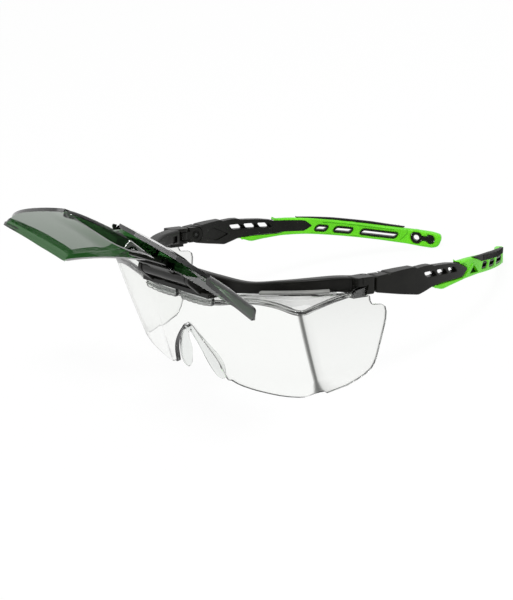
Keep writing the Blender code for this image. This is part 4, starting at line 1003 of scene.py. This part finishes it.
def build_plate(side, body):
    """The stiff front of a temple, with its slots, its tray and the room for the hinge link."""
    slots = [slanted_slot(a - length / 2, a + length / 2, PLATE_SLOT_Z, SLOT_HALF, SLOT_SLANT, SLOT_ROUND)
             for a, length in PLATE_SLOTS]
    plate = bent([PLATE] + slots, 2.0, PLATE_EDGE, from_outer(0), from_inner(0))
    tongue = bent([rounded(TONGUE, 1.0)], 1.0, 0.2, from_inner(-TONGUE_WALL), from_inner(TONGUE_PROUD))
    y, z = TILT_AXIS
    room = [rod_mesh((LINK_BACK_X, y, z), (LINK_FACE_X, y, z), TILT_NOSE_R + GAP),
            box_mesh((LINK_BACK_X, 0, -20), (LINK_FACE_X, y + TILT_PLAY, 20)),
            rod_mesh((LINK_BACK_X, y, z), (TILT_BORE_X, y, z), TILT_BORE_R),
            carved(PLATE_TRAY, from_inner(-TRAY_DEPTH), from_inner(2))]
    room += [slot_flare(a + length / 2) for a, length in PLATE_SLOTS]
    plate = cut(cut(plate, [tongue], "UNION"), room)
    add_piece("temple_plate_finish", plate, NYLON, body, "temple_plate", 35, side)


def build_sleeve(side, body):
    """The soft rear of a temple, round the plate's tongue, with windows for the liners."""
    holes = [sleeve_slot(a0, a1, 1.5, LINER_WALL + FIT) for a0, a1 in SLEEVE_SLOTS] + [insert_outline(FIT)]
    outline = SLEEVE_ALONG_PLATE + SLEEVE_TOP + SLEEVE_END + SLEEVE_LOW[::-1]
    sleeve = bent([rounded(outline, 1.6)] + holes, 2.0, SLEEVE_EDGE, from_outer(0), from_inner(0), 4)
    ribs = bent([WINDOW_RIB], 1.0, 0.25, from_outer(-WINDOW_RIB_PROUD), from_outer(1))
    tools = [carved(WINDOW, from_outer(-PAST), from_outer(WINDOW_DEPTH)),
             carved(shrink(TONGUE, -FIT), from_inner(-TONGUE_WALL - FIT), from_inner(PAST)),
             carved(PAD_OUTLINE, from_outer(-PAST), from_outer(PAD_DEPTH + FIT)),
             carved(SLEEVE_GROOVE, from_inner(-GROOVE_DEPTH), from_inner(1)),
             carved(SLEEVE_SEAM, from_inner(-SEAM_DEPTH), from_inner(1))]
    sleeve = cut(cut(sleeve, [ribs], "UNION"), tools)
    add_piece("temple_sleeve_finish", sleeve, LIME, body, "temple_sleeve", 35, side)


def build_pad(side, body):
    """The soft pad on the outside of the sleeve, with a row of ribs across it."""
    pad = bent([rounded(shrink(PAD_OUTLINE, FIT), 0.8)], 1.0, 0.4, from_outer(PAD_FACE),
               from_outer(PAD_DEPTH))
    path = [temple_point(a, RIB_LINE_Z - 0.2 * math.sin((a - 80) / 14), RIB_FACE) for a in range(80, 125)]
    wide, high = PAD_RIB
    rib = plate_mesh([rounded(rectangle(-wide, -high, wide, high), 0.2, 2)], 0.16, 0.08, 1)
    ribs = along_path(path, rib, PAD_RIBS, SOFT_BLACK)
    add_piece("grip_pad_finish", joined([pad, ribs]), SOFT_BLACK, body, "grip_pad", side=side)


def build_temple(side):
    """All pieces of one temple, among them the liners of the sleeve's windows and the insert of its tip."""
    body = "temple_" + side
    build_plate(side, body)
    build_sleeve(side, body)
    floor = carved(WINDOW, from_outer(WINDOW_DEPTH - 0.25), from_outer(WINDOW_DEPTH - 0.02))
    add_piece("window_floor", floor, NYLON, body, side=side)
    for k, (a0, a1) in enumerate(SLEEVE_SLOTS):
        liner = bent([sleeve_slot(a0, a1, 1.4, LINER_WALL), sleeve_slot(a0, a1, 0.4)], 2.0, 0.2,
                     from_outer(0.4), from_inner(0.2), 1)
        add_piece("slot_lining_%d" % (k + 1), liner, NYLON, body, "slot_liner_%d" % (k + 1), side=side)
    build_pad(side, body)
    insert = bent([insert_outline(), circle(TIP_RING_A, TIP_Z, TIP_HOLE_R, 32)], 2.0, 0.3, from_outer(0.3),
                  from_inner(0.3), 2)
    add_piece("tip_insert_finish", insert, NYLON, body, "tip_insert", side=side)


for side in SIDES:
    build_temple(side)


# Visor

VISOR_RISE = math.radians(37.8)  # how steeply it rises to the front when it is up
VISOR_EDGE = (-46.2, 8.3)  # y, z of the middle of its hinge edge
VISOR_HALF = 78  # half its width at the hinge edge, and at the free edge
VISOR_WIDEST = 86
VISOR_SPREAD = VISOR_WIDEST - VISOR_HALF
VISOR_SAG = 9.4  # depth of its curve across, and of its curve along its height
VISOR_SAG_POWER = 1.3
VISOR_BOW = 1.4
VISOR_BOW_AT = 40
VISOR_DOME = 1.2  # crown of the panel at the hinge edge
VISOR_CORNER_RISE = 7.2  # how far the hinge edge falls back at its ends
# Height of the free edge by distance from the middle, with the visor's own nose arch
VISOR_FREE = ((0, 7.8), (9, 7.9), (12, 8.8), (13.8, 11.4), (14.8, 16), (15.4, 21), (16.2, 28), (17.6, 34),
              (20, 37.6), (25, 38.8), (40, 38.6), (60, 36), (75, 31.5), (86, 26))
VISOR_STEPS = ([0, 1.6, 3.2, 4.8, 6.4, 8, 9.4, 10.6, 11.6, 12.4, 13, 13.5, 14, 14.4, 14.8, 15.2, 15.6, 16,
                16.5, 17.1, 17.8, 18.6, 19.6, 20.8, 22.6, 25] + [28 + 3.25 * k for k in range(17)])
VISOR_WALL = 1.8
VISOR_ROUND = 0.3
VISOR_RIM = 5.2  # depth of the rims
VISOR_FILLET = 2.2  # round between the panel and its rims
FREE_RIM_END = 21.0  # past the nose arch the free edge is plain
VISOR_DRAFT = 1.2  # how far the rims lean out
# Rims of the nose arch by distance from the middle, and of the ends by share of their length
VISOR_RIM_FREE = ((13, 4.8), (15, 5.4), (17, 4.8), (20, 3.4), (23, 2.0))
VISOR_RIM_END = ((0.6, VISOR_RIM), (1, 3.8))
# How much deeper than the tray form the panel lies: at the hinge edge by distance from the middle, and
# at the free edge
VISOR_SINK_LOW = ((22, -1.0), (40, 2.0))
VISOR_SINK_HIGH = 2.2
# Directions of the visor's own frame: along its height and into its depth
HEIGHT_WAY = Vector((0, -math.cos(VISOR_RISE), math.sin(VISOR_RISE)))
DEPTH_WAY = Vector((0, -math.sin(VISOR_RISE), -math.cos(VISOR_RISE)))
FILLET_STEPS = 5
VISOR_ROWS = 10


def panel_place(x, h, depth):
    """A place in the worn frame from the visor's own frame: across, away from the hinge edge, inward."""
    return Vector((x, *VISOR_EDGE)) + HEIGHT_WAY * h + DEPTH_WAY * depth


def rim_depth(x, h):
    """Depth of the plain tray form, which the edges of the rims follow."""
    return VISOR_SAG * (abs(x) / VISOR_HALF)**VISOR_SAG_POWER + VISOR_BOW * (h / VISOR_BOW_AT)**2


def visor_depth(x, h):
    """Depth of the panel, which is crowned out and sunk against the tray form."""
    high = max(0.0, min(1.0, h / VISOR_BOW_AT))
    low = linear_at(VISOR_SINK_LOW, abs(x))
    dome = VISOR_DOME * (1 - min(1.0, abs(h) / VISOR_BOW_AT)**2)
    return rim_depth(x, h) - dome + low + (VISOR_SINK_HIGH - low) * high


def visor_edges(x):
    """Heights of the hinge edge and the free edge of the panel."""
    return -VISOR_CORNER_RISE * (x / VISOR_WIDEST)**2, curve_at(VISOR_FREE, x)


def across_at(x, h):
    """Real distance from the middle of a column named x, which leans outward with height."""
    top = visor_edges(x)[0]
    return x / VISOR_WIDEST * (VISOR_HALF + VISOR_SPREAD * max(0.0, (h - top) / (VISOR_FREE[-1][1] - top)))


def free_normal(x):
    """Direction from the free edge into the panel, as (across, height)."""
    if x < 0.5:
        return Vector((0, -1))
    ends = [Vector((across_at(at, visor_edges(at)[1]), visor_edges(at)[1]))
            for at in (x - 0.4, min(VISOR_WIDEST, x + 0.4))]
    way = (ends[1] - ends[0]).normalized()
    return Vector((way.y, -way.x))


def fillet(a, b):
    """A place on the round of a panel corner: a of the way out to its end, b to its long edge.
    Gives the steps outward and how far the surface has sunk there."""
    size = max(a, b)
    if size == 0:
        return 0.0, 0.0, 0.0
    angle = math.pi / 4 * b / a if a >= b else math.pi / 2 - math.pi / 4 * a / b
    reach = VISOR_FILLET * math.sin(math.pi / 2 * size)
    return reach * math.cos(angle), reach * math.sin(angle), VISOR_FILLET * (1 - math.cos(math.pi / 2 * size))


def visor_columns():
    """Columns of the visor's outer sheet from its rim at the hinge edge to its rim at the free edge."""
    shares = [k / FILLET_STEPS for k in range(FILLET_STEPS + 1)]
    columns = []
    for x, a in [(x, 0.0) for x in VISOR_STEPS] + [(VISOR_WIDEST - VISOR_FILLET, a) for a in shares]:
        top, free = visor_edges(x)
        into = free_normal(x)
        out = x / VISOR_WIDEST
        first = Vector((across_at(x, top + VISOR_FILLET), top + VISOR_FILLET))
        plain = x > FREE_RIM_END
        last = Vector((across_at(x, free), free)) + into * (0.0 if plain else VISOR_FILLET)
        places = []
        for b in reversed(shares):
            e1, e2, sink = fillet(a, b)
            places.append((first + Vector((e1, -e2)), sink))
        e1, e2, sink = fillet(a, 0)
        for k in range(1, VISOR_ROWS + 1):
            places.append((first.lerp(last, k / VISOR_ROWS) + Vector((e1, 0)), sink))
        for b in shares[1:]:
            e1, e2, sink = fillet(a, b)
            places.append((last + Vector((e1, 0)) - into * e2, sink))
        column = [(p.x, p.y, visor_depth(p.x, p.y) + sink) for p, sink in places]
        head, foot = column[0], column[-1]
        rim_top = (head[0] + VISOR_DRAFT * out, head[1] - VISOR_DRAFT * 0.4,
                   rim_depth(head[0], head[1]) + VISOR_RIM)
        rim_free = (foot[0] + VISOR_DRAFT * out - into.x * VISOR_DRAFT * 0.3, foot[1] + VISOR_DRAFT * 0.3,
                    rim_depth(foot[0], foot[1]) + linear_at(VISOR_RIM_FREE, x))
        if plain:
            column[-FILLET_STEPS:] = [None] * FILLET_STEPS
            rim_free = None
        columns.append([rim_top] + column + [rim_free])
    end = columns[-1]
    kept = len(end) - 2 - FILLET_STEPS
    rim = []
    for k, (x, h, _) in enumerate(end[1:1 + kept]):
        deep = linear_at(VISOR_RIM_END, k / (kept - 1))
        rim.append((x + VISOR_DRAFT, h, rim_depth(x, h) + deep))
    columns.append([end[0]] + rim + [None] * (FILLET_STEPS + 1))
    return columns


def build_visor():
    """The tinted tray as one moulding with round edges."""
    columns = visor_columns()
    rows = [[column[k] and panel_place(*column[k]) for column in columns] for k in range(len(columns[0]))]
    mesh = worked_in("visor", sheet_mesh(rows),
                     ("SOLIDIFY", {"thickness": VISOR_WALL, "offset": -1}),
                     bevel(VISOR_ROUND, use_clamp_overlap=True))
    add_piece("visor_moulding", mesh, TINT, "visor", "flip_visor", 40)


build_visor()


# Brow bar and fold hinges

PIN_Y = FOLD_PIN[1]
PIN_LEAN = 4.0  # how far the fold pins lean, in degrees
EAR_R = 2.8
# End block of the bar: from and to in x, y and z
BLOCK_X = (PIN_X - 2.4, PIN_X + 5.6)
BLOCK_Y = (4.6, 14.2)
BLOCK_Z = (-4.5, 3.2)
BLOCK_EDGE = 0.55
# Bracket under the bar's end that holds the side shield
BRACKET_LOW = (70.4, 4.4, -5.9)
BRACKET_HIGH = (74.0, 12.0, -2.0)
TONGUE_Z = (-2.7, 1.3)  # heights of the link's ear and neck in the block
LINK_X = (PIN_X - 1.8, PIN_X + 1.4)
LINK_Z = (-4.4, 3.1)
LINK_FRONT = 15.5
LINK_RING = (2.0, 1.55)  # the ring groove round the tilt pin
FOLD_BORE_R = 1.3
BROW_SECTIONS = 10  # sections between two of its points
# Marks of the end of the bar: a seam and two recesses of the block, a notch and a recess of the bar
SEAM_Y = (7.35, 7.65)
OUTER_RECESS = ((8.0, -2.7), (10.2, -2.5), (10.6, -0.1), (8.6, -0.9))
INNER_RECESS = rounded(rectangle(8.8, -2.8, 10.0, 1.8), 0.5)
BAR_NOTCH = ((73.4, 1.2, 2.75), (76, 2.2, 5))
BAR_RECESS = rectangle(2.4, -2.9, 6.4, 0.5)
BAR_RECESS_SKEW = 0.46  # the bar runs at a slant there


def leaned(mesh):
    """Leans a mesh built on a vertical fold pin by the pin's lean."""
    pin = Matrix.Translation((PIN_X, PIN_Y, 0))
    mesh.transform(pin @ Matrix.Rotation(math.radians(-PIN_LEAN), 4, "Y") @ pin.inverted())
    return mesh


def level_plate(outline, z0, z1, edge):
    """A plate that lies flat: an outline in (x, y) between two heights."""
    return plate_mesh([outline], (z1 - z0) / 2, edge, place=Matrix.Translation((0, 0, (z0 + z1) / 2)))


def fold_bore():
    """The tool for a fold pin's bore, longer than all that it passes through."""
    return leaned(rod_mesh((PIN_X, PIN_Y, -8), (PIN_X, PIN_Y, 8), FOLD_BORE_R))


def brow_rings():
    """Sections of the bar from the right hinge to the left one."""
    rings = []
    steps = (len(BROW) - 1) * BROW_SECTIONS
    for k in range(-steps, steps + 1):
        z, tall, deep = brow_point(abs(k) / steps)[2:]
        mirror = -1 if k < 0 else 1
        corners = [(-deep / 2, -tall / 2), (-deep / 2, tall / 2), (deep / 2, tall / 2), (deep / 2, -tall / 2)]
        rings.append([(mirror * place[0], *place[1:])
                      for place in along_bar(abs(k) / steps, rounded(corners, 1.3, 4), z)])
    return rings


def block_outline():
    """Plan of the end block: round about the pin at its inner rear corner, square on the outside."""
    start = math.asin((BLOCK_Y[1] - PIN_Y) / EAR_R)
    ear = arc(PIN_X, PIN_Y, EAR_R, start, math.radians(190), 18)
    corners = [ear[-1], (BLOCK_X[0], BLOCK_Y[0]), (BLOCK_X[1], BLOCK_Y[0]), (BLOCK_X[1], BLOCK_Y[1]), ear[0]]
    return ear + round_corners(corners, 1.1)


def brow_marks():
    """Seams, notches and recesses of the end of the bar, seen in the photograph."""
    out = BLOCK_X[1]
    inner = side_plate(rounded(BAR_RECESS, 0.5), 60, 66.4)
    for vert in inner.vertices:
        vert.co.x += (vert.co.y - BAR_RECESS[0][0]) * BAR_RECESS_SKEW
    return [box_mesh((out - 0.5, SEAM_Y[0], 0.1), (out + 1, SEAM_Y[1], 5)),
            side_plate(OUTER_RECESS, out - 0.8, out + 1),
            side_plate(INNER_RECESS, BLOCK_X[0] - 1, BLOCK_X[0] + 0.6),
            box_mesh(*BAR_NOTCH), inner]


def build_brow():
    """The bar with its end blocks, their room for the link's ear, and the shield brackets."""
    joins = []
    cuts = []
    low, high = TONGUE_Z[0] - GAP, TONGUE_Z[1] + GAP
    for side in SIDES:
        parts = [level_plate(block_outline(), *BLOCK_Z, BLOCK_EDGE), box_mesh(BRACKET_LOW, BRACKET_HIGH)]
        tools = [leaned(rod_mesh((PIN_X, PIN_Y, low), (PIN_X, PIN_Y, high), EAR_R + GAP)),
                 leaned(box_mesh((PIN_X - 9, PIN_Y - 2.2, low), (PIN_X + 1.7, PIN_Y + 6, high))),
                 box_mesh((BRACKET_HIGH[0], -30, -12), (90, 9.7, -0.6)), fold_bore()] + brow_marks()
        joins += [mirrored(mesh) if side == "right" else mesh for mesh in parts]
        cuts += [mirrored(mesh) if side == "right" else mesh for mesh in tools]
    mesh = cut(cut(loft(brow_rings()), joins, "UNION"), cuts)
    add_piece("brow_bar_finish", mesh, NYLON, "frame", "brow_bar", 35)


def build_link(side):
    """The link between a fold pin and a tilt pin: a round ear, a neck and a round-nosed body."""
    y, z = TILT_AXIS
    top = math.asin((LINK_Z[1] - z) / TILT_NOSE_R)
    nose = arc(y, z, TILT_NOSE_R, -top, top, 20)
    body = side_plate([(LINK_FRONT, LINK_Z[0])] + nose + [(LINK_FRONT, LINK_Z[1])], *LINK_X, 0.35)
    neck = leaned(box_mesh((LINK_X[0], PIN_Y, TONGUE_Z[0]), (LINK_X[1], LINK_FRONT + 1, TONGUE_Z[1])))
    ear = leaned(level_plate(circle(PIN_X, PIN_Y, EAR_R, 48), *TONGUE_Z, 0.3))
    ring = plate_mesh([circle(y, z, radius, 40) for radius in LINK_RING], 0.5, 0.0,
                      place=across_at_x(LINK_X[0]))
    tools = [fold_bore(), rod_mesh((LINK_X[0] - 3, y, z), (TILT_BORE_X, y, z), TILT_BORE_R), ring]
    add_piece("hinge_link_finish", cut(cut(body, [neck, ear], "UNION"), tools), NYLON, "link_" + side,
              "hinge_link", 35, side)


build_brow()
for side in SIDES:
    build_link(side)


# Flip mount on the middle of the lens, the visor's carrier and its clamp

BASE_HALF = 27
BASE_FLOOR = (-38.2, -31.8, -9.1, -7.8)  # the channel's front, rear, underside and floor
BASE_BACK_TOP = -4.6
BASE_WALLS = (1.0, 1.2)  # its front and rear wall
CARRIER_HALF = 17.6
MOUNT_EAR_X = CARRIER_HALF + GAP + 0.1  # inner face of the channel's ears
MOUNT_EAR_WALL = 3.0
MOUNT_EAR_R = 3.2
BARREL_R = 3.0
FLIP_BORE_R = 1.3
FOOT_HALF = 15
FOOT_H = (-2.6, -1.2)  # the foot's place ahead of the hinge edge
NECK_HALF = 8.5
SCREW_X = 12
SCREW_DEPTH = 4.7  # how far under the hinge edge the screws lie
SCREW_BORE_R = 1.0
GRIP_X = (2.0, BASE_HALF)
GRIP_Y = LENS_CENTRE_Y - GAP - 1.4  # middle of a jaw's wall
GRIP_HALF_WALL = 0.8
GRIP_TEETH = 6
GRIP_DEPTH = 1.8
GRIP_TOOTH = 0.6
GRIP_RIDGES = 13
RIDGE = (1.1, 0.3)  # half width and half height of a ridge
RIDGE_INSET = 0.8
RIDGE_LIFT = 1.2


def panel_box(low, high, edge):
    """A box with round edges whose sides follow the visor's own frame."""
    (x0, h0, d0), (x1, h1, d1) = low, high
    bm = flat_plate([rectangle(h0, d0, h1, d1)], (x1 - x0) / 2, edge)
    for vert in bm.verts:
        h, d, x = vert.co
        vert.co = panel_place(x + (x0 + x1) / 2, h, d)
    return to_mesh("panel_box", bm)


def screw_bores():
    """The tools for the two screws' bores through foot, visor and clamp plate."""
    return [rod_mesh(panel_place(x, -6, SCREW_DEPTH), panel_place(x, 8, SCREW_DEPTH), SCREW_BORE_R)
            for x in (SCREW_X, -SCREW_X)]


def build_mount():
    """The channel on the lens and its two ears, in one piece."""
    y0, y1, z0, z1 = BASE_FLOOR
    front, back = BASE_WALLS
    channel = side_plate([(y0, z0), (y1, z0), (y1, BASE_BACK_TOP), (y1 - back, BASE_BACK_TOP),
                          (y1 - back, z1), (y0 + front, z1), (y0 + front, z1 + 0.5), (y0, z1 + 0.5)],
                         -BASE_HALF, BASE_HALF, 0.25)
    y, z = FLIP_AXIS
    top = arc(y, z, MOUNT_EAR_R, math.radians(60), math.radians(240), 18)
    foot = [(y0, z0 + 0.8), (y1 - 0.6, z0 + 0.8), (y1 - 0.6, -5.0)]
    ear = side_plate(top + round_corners([top[-1]] + foot + [top[0]], 0.4), MOUNT_EAR_X,
                     MOUNT_EAR_X + MOUNT_EAR_WALL, 0.45)
    mesh = cut(channel, [ear, mirrored(ear)], "UNION")
    mesh = cut(mesh, [rod_mesh((-30, y, z), (30, y, z), FLIP_BORE_R)])
    add_piece("flip_mount_finish", mesh, NYLON, "frame", "flip_mount", 35)


def build_carrier():
    """The visor's barrel, neck and foot, and the plate that clamps the visor against the foot."""
    y, z = FLIP_AXIS
    way = Vector((0, y, z)) - Vector((0, *VISOR_EDGE))
    axis_h, axis_d = way.dot(HEIGHT_WAY), way.dot(DEPTH_WAY)
    barrel = side_plate(circle(y, z, BARREL_R, 56), -CARRIER_HALF, CARRIER_HALF, 0.4)
    neck = panel_box((-NECK_HALF, axis_h, axis_d - 1.4), (NECK_HALF, FOOT_H[1], axis_d + 1.2), 0.3)
    foot = panel_box((-FOOT_HALF, FOOT_H[0], 1.2), (FOOT_HALF, FOOT_H[1], 6.2), 0.35)
    mesh = cut(barrel, [neck, foot], "UNION")
    mesh = cut(mesh, [rod_mesh((-20, y, z), (20, y, z), FLIP_BORE_R)] + screw_bores())
    add_piece("flip_carrier_finish", mesh, NYLON, "visor", "flip_carrier", 35)
    clamp = cut(panel_box((-FOOT_HALF, 2.6, 3.3), (FOOT_HALF, 4.0, 6.0), 0.3), screw_bores())
    add_piece("clamp_plate_finish", clamp, NYLON, "visor", "clamp_plate", 35)


def build_grips():
    """Clear jaws that hold the mount on the rim of the lens, with a toothed lower edge."""
    y1, z0 = BASE_FLOOR[1:3]
    x0, x1 = GRIP_X
    pitch = (x1 - x0) / GRIP_TEETH
    edge = [(x0, z0 - GAP), (x0, curve_at(LENS_TOP, x0) - GRIP_DEPTH)]
    for k in range(GRIP_TEETH):
        for share, tooth in ((0.2, GRIP_TOOTH), (0.8, GRIP_TOOTH), (1, 0)):
            x = x0 + pitch * (k + share)
            edge.append((x, curve_at(LENS_TOP, x) - GRIP_DEPTH - tooth))
    edge.append((x1, z0 - GAP))
    upright = Matrix(((1, 0, 0, 0), (0, 0, -1, GRIP_Y), (0, 1, 0, 0), (0, 0, 0, 1)))
    last = GRIP_RIDGES - 1
    path = [(x0 + RIDGE_INSET + (x1 - x0 - 2 * RIDGE_INSET) * k / last, GRIP_Y - 0.45,
             curve_at(LENS_TOP, x0 + (x1 - x0) * k / last) - GRIP_DEPTH + RIDGE_LIFT)
            for k in range(GRIP_RIDGES)]
    wide, high = RIDGE
    for side in SIDES:
        jaw = plate_mesh([rounded(edge, 0.35, 3)], GRIP_HALF_WALL, 0.25, place=upright)
        web = box_mesh((x0 + 0.5, GRIP_Y, z0 - GAP - 0.8), (x1 - 4, y1 - 0.4, z0 - GAP - 0.15))
        ridge = plate_mesh([rounded(rectangle(-wide, -high, wide, high), 0.25, 2)], 0.4, 0.15, 1)
        grip = joined([cut(jaw, [web], "UNION"), along_path(path, ridge, GRIP_RIDGES, TEETH)])
        add_piece("lens_grip_finish", grip, TEETH, "frame", "lens_grip", 35, side)


build_mount()
build_carrier()
build_grips()


# Soft clear nose band: narrow over the bridge, widening to a leaf on each side

# Its middle, as x, y and z, its width and its wall
NOSE_BAND = ((0, -30.0, -27.3, 4.4, 1.7), (4.2, -29.6, -29.6, 4.2, 1.6), (8.6, -27.4, -34.8, 5.6, 1.6),
             (11.6, -24.8, -40.4, 7.6, 1.6), (13.4, -23.0, -45.6, 6.6, 1.5), (14.0, -21.6, -50.2, 3.2, 1.4))
NOSE_SECTIONS = 9
NOSE_SIDES = 24
PAD_SPLAY = 0.25  # how far the pads open towards their rear


def nose_value(column, spot):
    """One of the band's values at a place counted in rows of its table."""
    return curve_at([(i, row[column]) for i, row in enumerate(NOSE_BAND)], spot)


def build_nose():
    """The band over the nose arch, from one pad's tip to the other's."""
    rings = []
    last = len(NOSE_BAND) - 1
    steps = last * NOSE_SECTIONS
    for k in range(-steps, steps + 1):
        spot = abs(k) / NOSE_SECTIONS
        x, y, z, wide, wall = [nose_value(column, spot) for column in range(5)]
        taper = math.sqrt(max(0.05, 1 - max(0.0, spot - last + 0.5)**2 * 3.8))
        low, high = max(0.0, spot - 0.1), min(last, spot + 0.1)
        way = Vector([nose_value(column, high) - nose_value(column, low) for column in (0, 2)]).normalized()
        if k == 0:
            way = Vector((1, 0))
        out = Vector((-way.y, way.x))
        mirror = -1 if k < 0 else 1
        ring = []
        for n in range(NOSE_SIDES):
            angle = 2 * math.pi * n / NOSE_SIDES
            square = (math.cos(angle)**4 + math.sin(angle)**4)**-0.25
            across = math.cos(angle) * square * wall * taper / 2
            along = math.sin(angle) * square * wide * taper / 2
            splay = PAD_SPLAY * min(1.0, spot / 2) * along
            ring.append((mirror * (x + out.x * across + splay), y + along, z + out.y * across))
        rings.append(ring)
    add_piece("nose_band", loft(rings), SILICONE, "frame", "nose_piece", 60)


# The strips: the part of the bar's half that they follow, in steps, and their width over it
SEAL_START = 0.42
SEAL_PART = 0.36
SEAL_STEPS = 24
SEAL_WIDTH = 2.0


def build_seals():
    """Soft strips that lie on the roof in front of the brow bar."""
    for side in SIDES:
        rings = []
        for k in range(SEAL_STEPS + 1):
            t = SEAL_START + SEAL_PART * k / SEAL_STEPS
            z, tall, deep = brow_point(t)[2:]
            near = deep / 2 + GAP
            far = near + SEAL_WIDTH
            low = z - tall / 2 + 0.25
            section = rounded([(near, low), (far, low - 0.1), (far, low + 1.0), (near, low + 1.6)], 0.4, 3)
            rings.append(along_bar(t, section, 0))
        add_piece("brow_seal_finish", loft(rings), SEAL, "frame", "brow_seal", side=side)


build_nose()
build_seals()


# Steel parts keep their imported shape

def dress_node(name, material):
    """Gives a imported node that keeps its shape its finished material."""
    mesh = frame["nodes"][name].data
    for i in range(len(mesh.materials)):
        mesh.materials[i] = material


dress_node("detent_spring", STEEL)
for name in ("flip_pin", "fold_pin_left", "fold_pin_right", "tilt_pin_left", "tilt_pin_right",
             "visor_screw_left", "visor_screw_right"):
    dress_node(name, BLACK_STEEL)


# Studio: a pale table, an even white surround, a high soft key lamp and a fill

def seen_share(tree):
    """1 where the ray comes from the camera, a mirror reflection or through a clear part."""
    ray = add_node(tree, "ShaderNodeLightPath").outputs
    seen = add_node(tree, "ShaderNodeMath", links=[(0, ray["Is Camera Ray"]), (1, ray["Is Glossy Ray"])],
                    operation="MAXIMUM")
    return add_node(tree, "ShaderNodeMath", links=[(0, seen.outputs[0]), (1, ray["Is Transmission Ray"])],
                    operation="MAXIMUM").outputs[0]


def pale_table():
    """White laminate that looks white to the lens and still takes a faint shadow."""
    material, tree, output = new_material("white_laminate_table")
    share = add_node(tree, "ShaderNodeMath", [(1, TABLE_GLOW)], [(0, seen_share(tree))], operation="MULTIPLY")
    cloth = add_node(tree, "ShaderNodeBsdfDiffuse", [("Color", hex_colour("F4F4F4"))])
    glow = add_node(tree, "ShaderNodeEmission", [("Color", (1, 1, 1, 1)), ("Strength", 1.0)])
    mix = add_node(tree, "ShaderNodeMixShader",
                   links=[(0, share.outputs[0]), (1, cloth.outputs["BSDF"]), (2, glow.outputs["Emission"])])
    tree.links.new(mix.outputs["Shader"], output.inputs["Surface"])
    return material


TABLE_R = 6.0  # m
TABLE_Z = -0.0002
TABLE_GLOW = 0.95
SURROUND_LIGHT = 0.62  # strength of the white surround as a light on the parts
DARK_SIDE = (0.80, -0.56, -0.2)  # direction of the studio's dark half
DARK_LIGHT = 0.12
# Lamps: name, place and size in m, power in W
LAMP_AIM = Vector((0, 0, 0.03))
LAMPS = (("key_softbox", (0.5, -0.25, 1.5), 0.6, 15.0), ("fill_softbox", (-0.8, -0.9, 0.7), 0.9, 3.0))


def build_studio():
    bm = bmesh.new()
    bmesh.ops.create_circle(bm, cap_ends=True, segments=96, radius=TABLE_R)
    mesh = written("table", bm)
    mesh.materials.append(pale_table())
    table = bpy.data.objects.new("table", mesh)
    table.location.z = TABLE_Z
    STUDIO.objects.link(table)

    world = bpy.data.worlds.new("white_surround")
    bpy.context.scene.world = world
    world.use_nodes = True
    tree = world.node_tree
    tree.nodes.clear()
    strength = add_node(tree, "ShaderNodeMapRange", [("To Min", SURROUND_LIGHT), ("To Max", 1.0)],
                        [("Value", seen_share(tree))])
    # The dark half of the studio, behind the photographer, is what glossy faces towards it mirror
    ray = add_node(tree, "ShaderNodeLightPath")
    way = add_node(tree, "ShaderNodeTexCoord").outputs["Generated"]
    ahead = add_node(tree, "ShaderNodeVectorMath", [(1, DARK_SIDE)], [(0, way)], operation="DOT_PRODUCT")
    dark = add_node(tree, "ShaderNodeMapRange", [("From Min", -0.1), ("From Max", 0.5)],
                    [("Value", ahead.outputs["Value"])], interpolation_type="SMOOTHSTEP")
    mirrored_dark = add_node(tree, "ShaderNodeMath", operation="MULTIPLY",
                             links=[(0, ray.outputs["Is Glossy Ray"]), (1, dark.outputs["Result"])])
    strength = add_node(tree, "ShaderNodeMapRange", [("To Max", DARK_LIGHT)],
                        [("Value", mirrored_dark.outputs[0]), ("To Min", strength.outputs["Result"])])
    glow = add_node(tree, "ShaderNodeBackground", [("Color", (1, 1, 1, 1))],
                    [("Strength", strength.outputs["Result"])])
    output = tree.nodes.new("ShaderNodeOutputWorld")
    tree.links.new(glow.outputs["Background"], output.inputs["Surface"])

    for name, place, size, power in LAMPS:
        lamp = bpy.data.lights.new(name, "AREA")
        lamp.shape = "DISK"
        lamp.size = size
        lamp.energy = power
        holder = bpy.data.objects.new(name, lamp)
        holder.location = place
        holder.rotation_euler = (LAMP_AIM - Vector(place)).to_track_quat("-Z", "Y").to_euler()
        STUDIO.objects.link(holder)


# Camera: the photograph's, as a place and axes in the worn frame
CAMERA_PLACE = (647.07, -449.36, 150.77)
CAMERA_RIGHT = Vector((0.57601, 0.81746, 0))
CAMERA_BACK = Vector((0.79909, -0.56307, 0.21081))
CAMERA_LENS = 105


def build_camera():
    data = bpy.data.cameras.new("camera")
    data.lens = CAMERA_LENS
    data.sensor_fit = "AUTO"
    data.sensor_width = 36
    data.clip_start = 0.01
    data.clip_end = 50
    camera = bpy.data.objects.new("camera", data)
    STUDIO.objects.link(camera)
    up = CAMERA_BACK.cross(CAMERA_RIGHT)
    axes = Matrix((CAMERA_RIGHT, up, CAMERA_BACK)).transposed()
    turn = WORN.to_3x3().normalized()
    camera.matrix_world = Matrix.Translation(WORN @ Vector(CAMERA_PLACE)) @ (turn @ axes).to_4x4()
    bpy.context.scene.camera = camera


build_studio()
build_camera()
bpy.context.scene.view_settings.view_transform = "Standard"
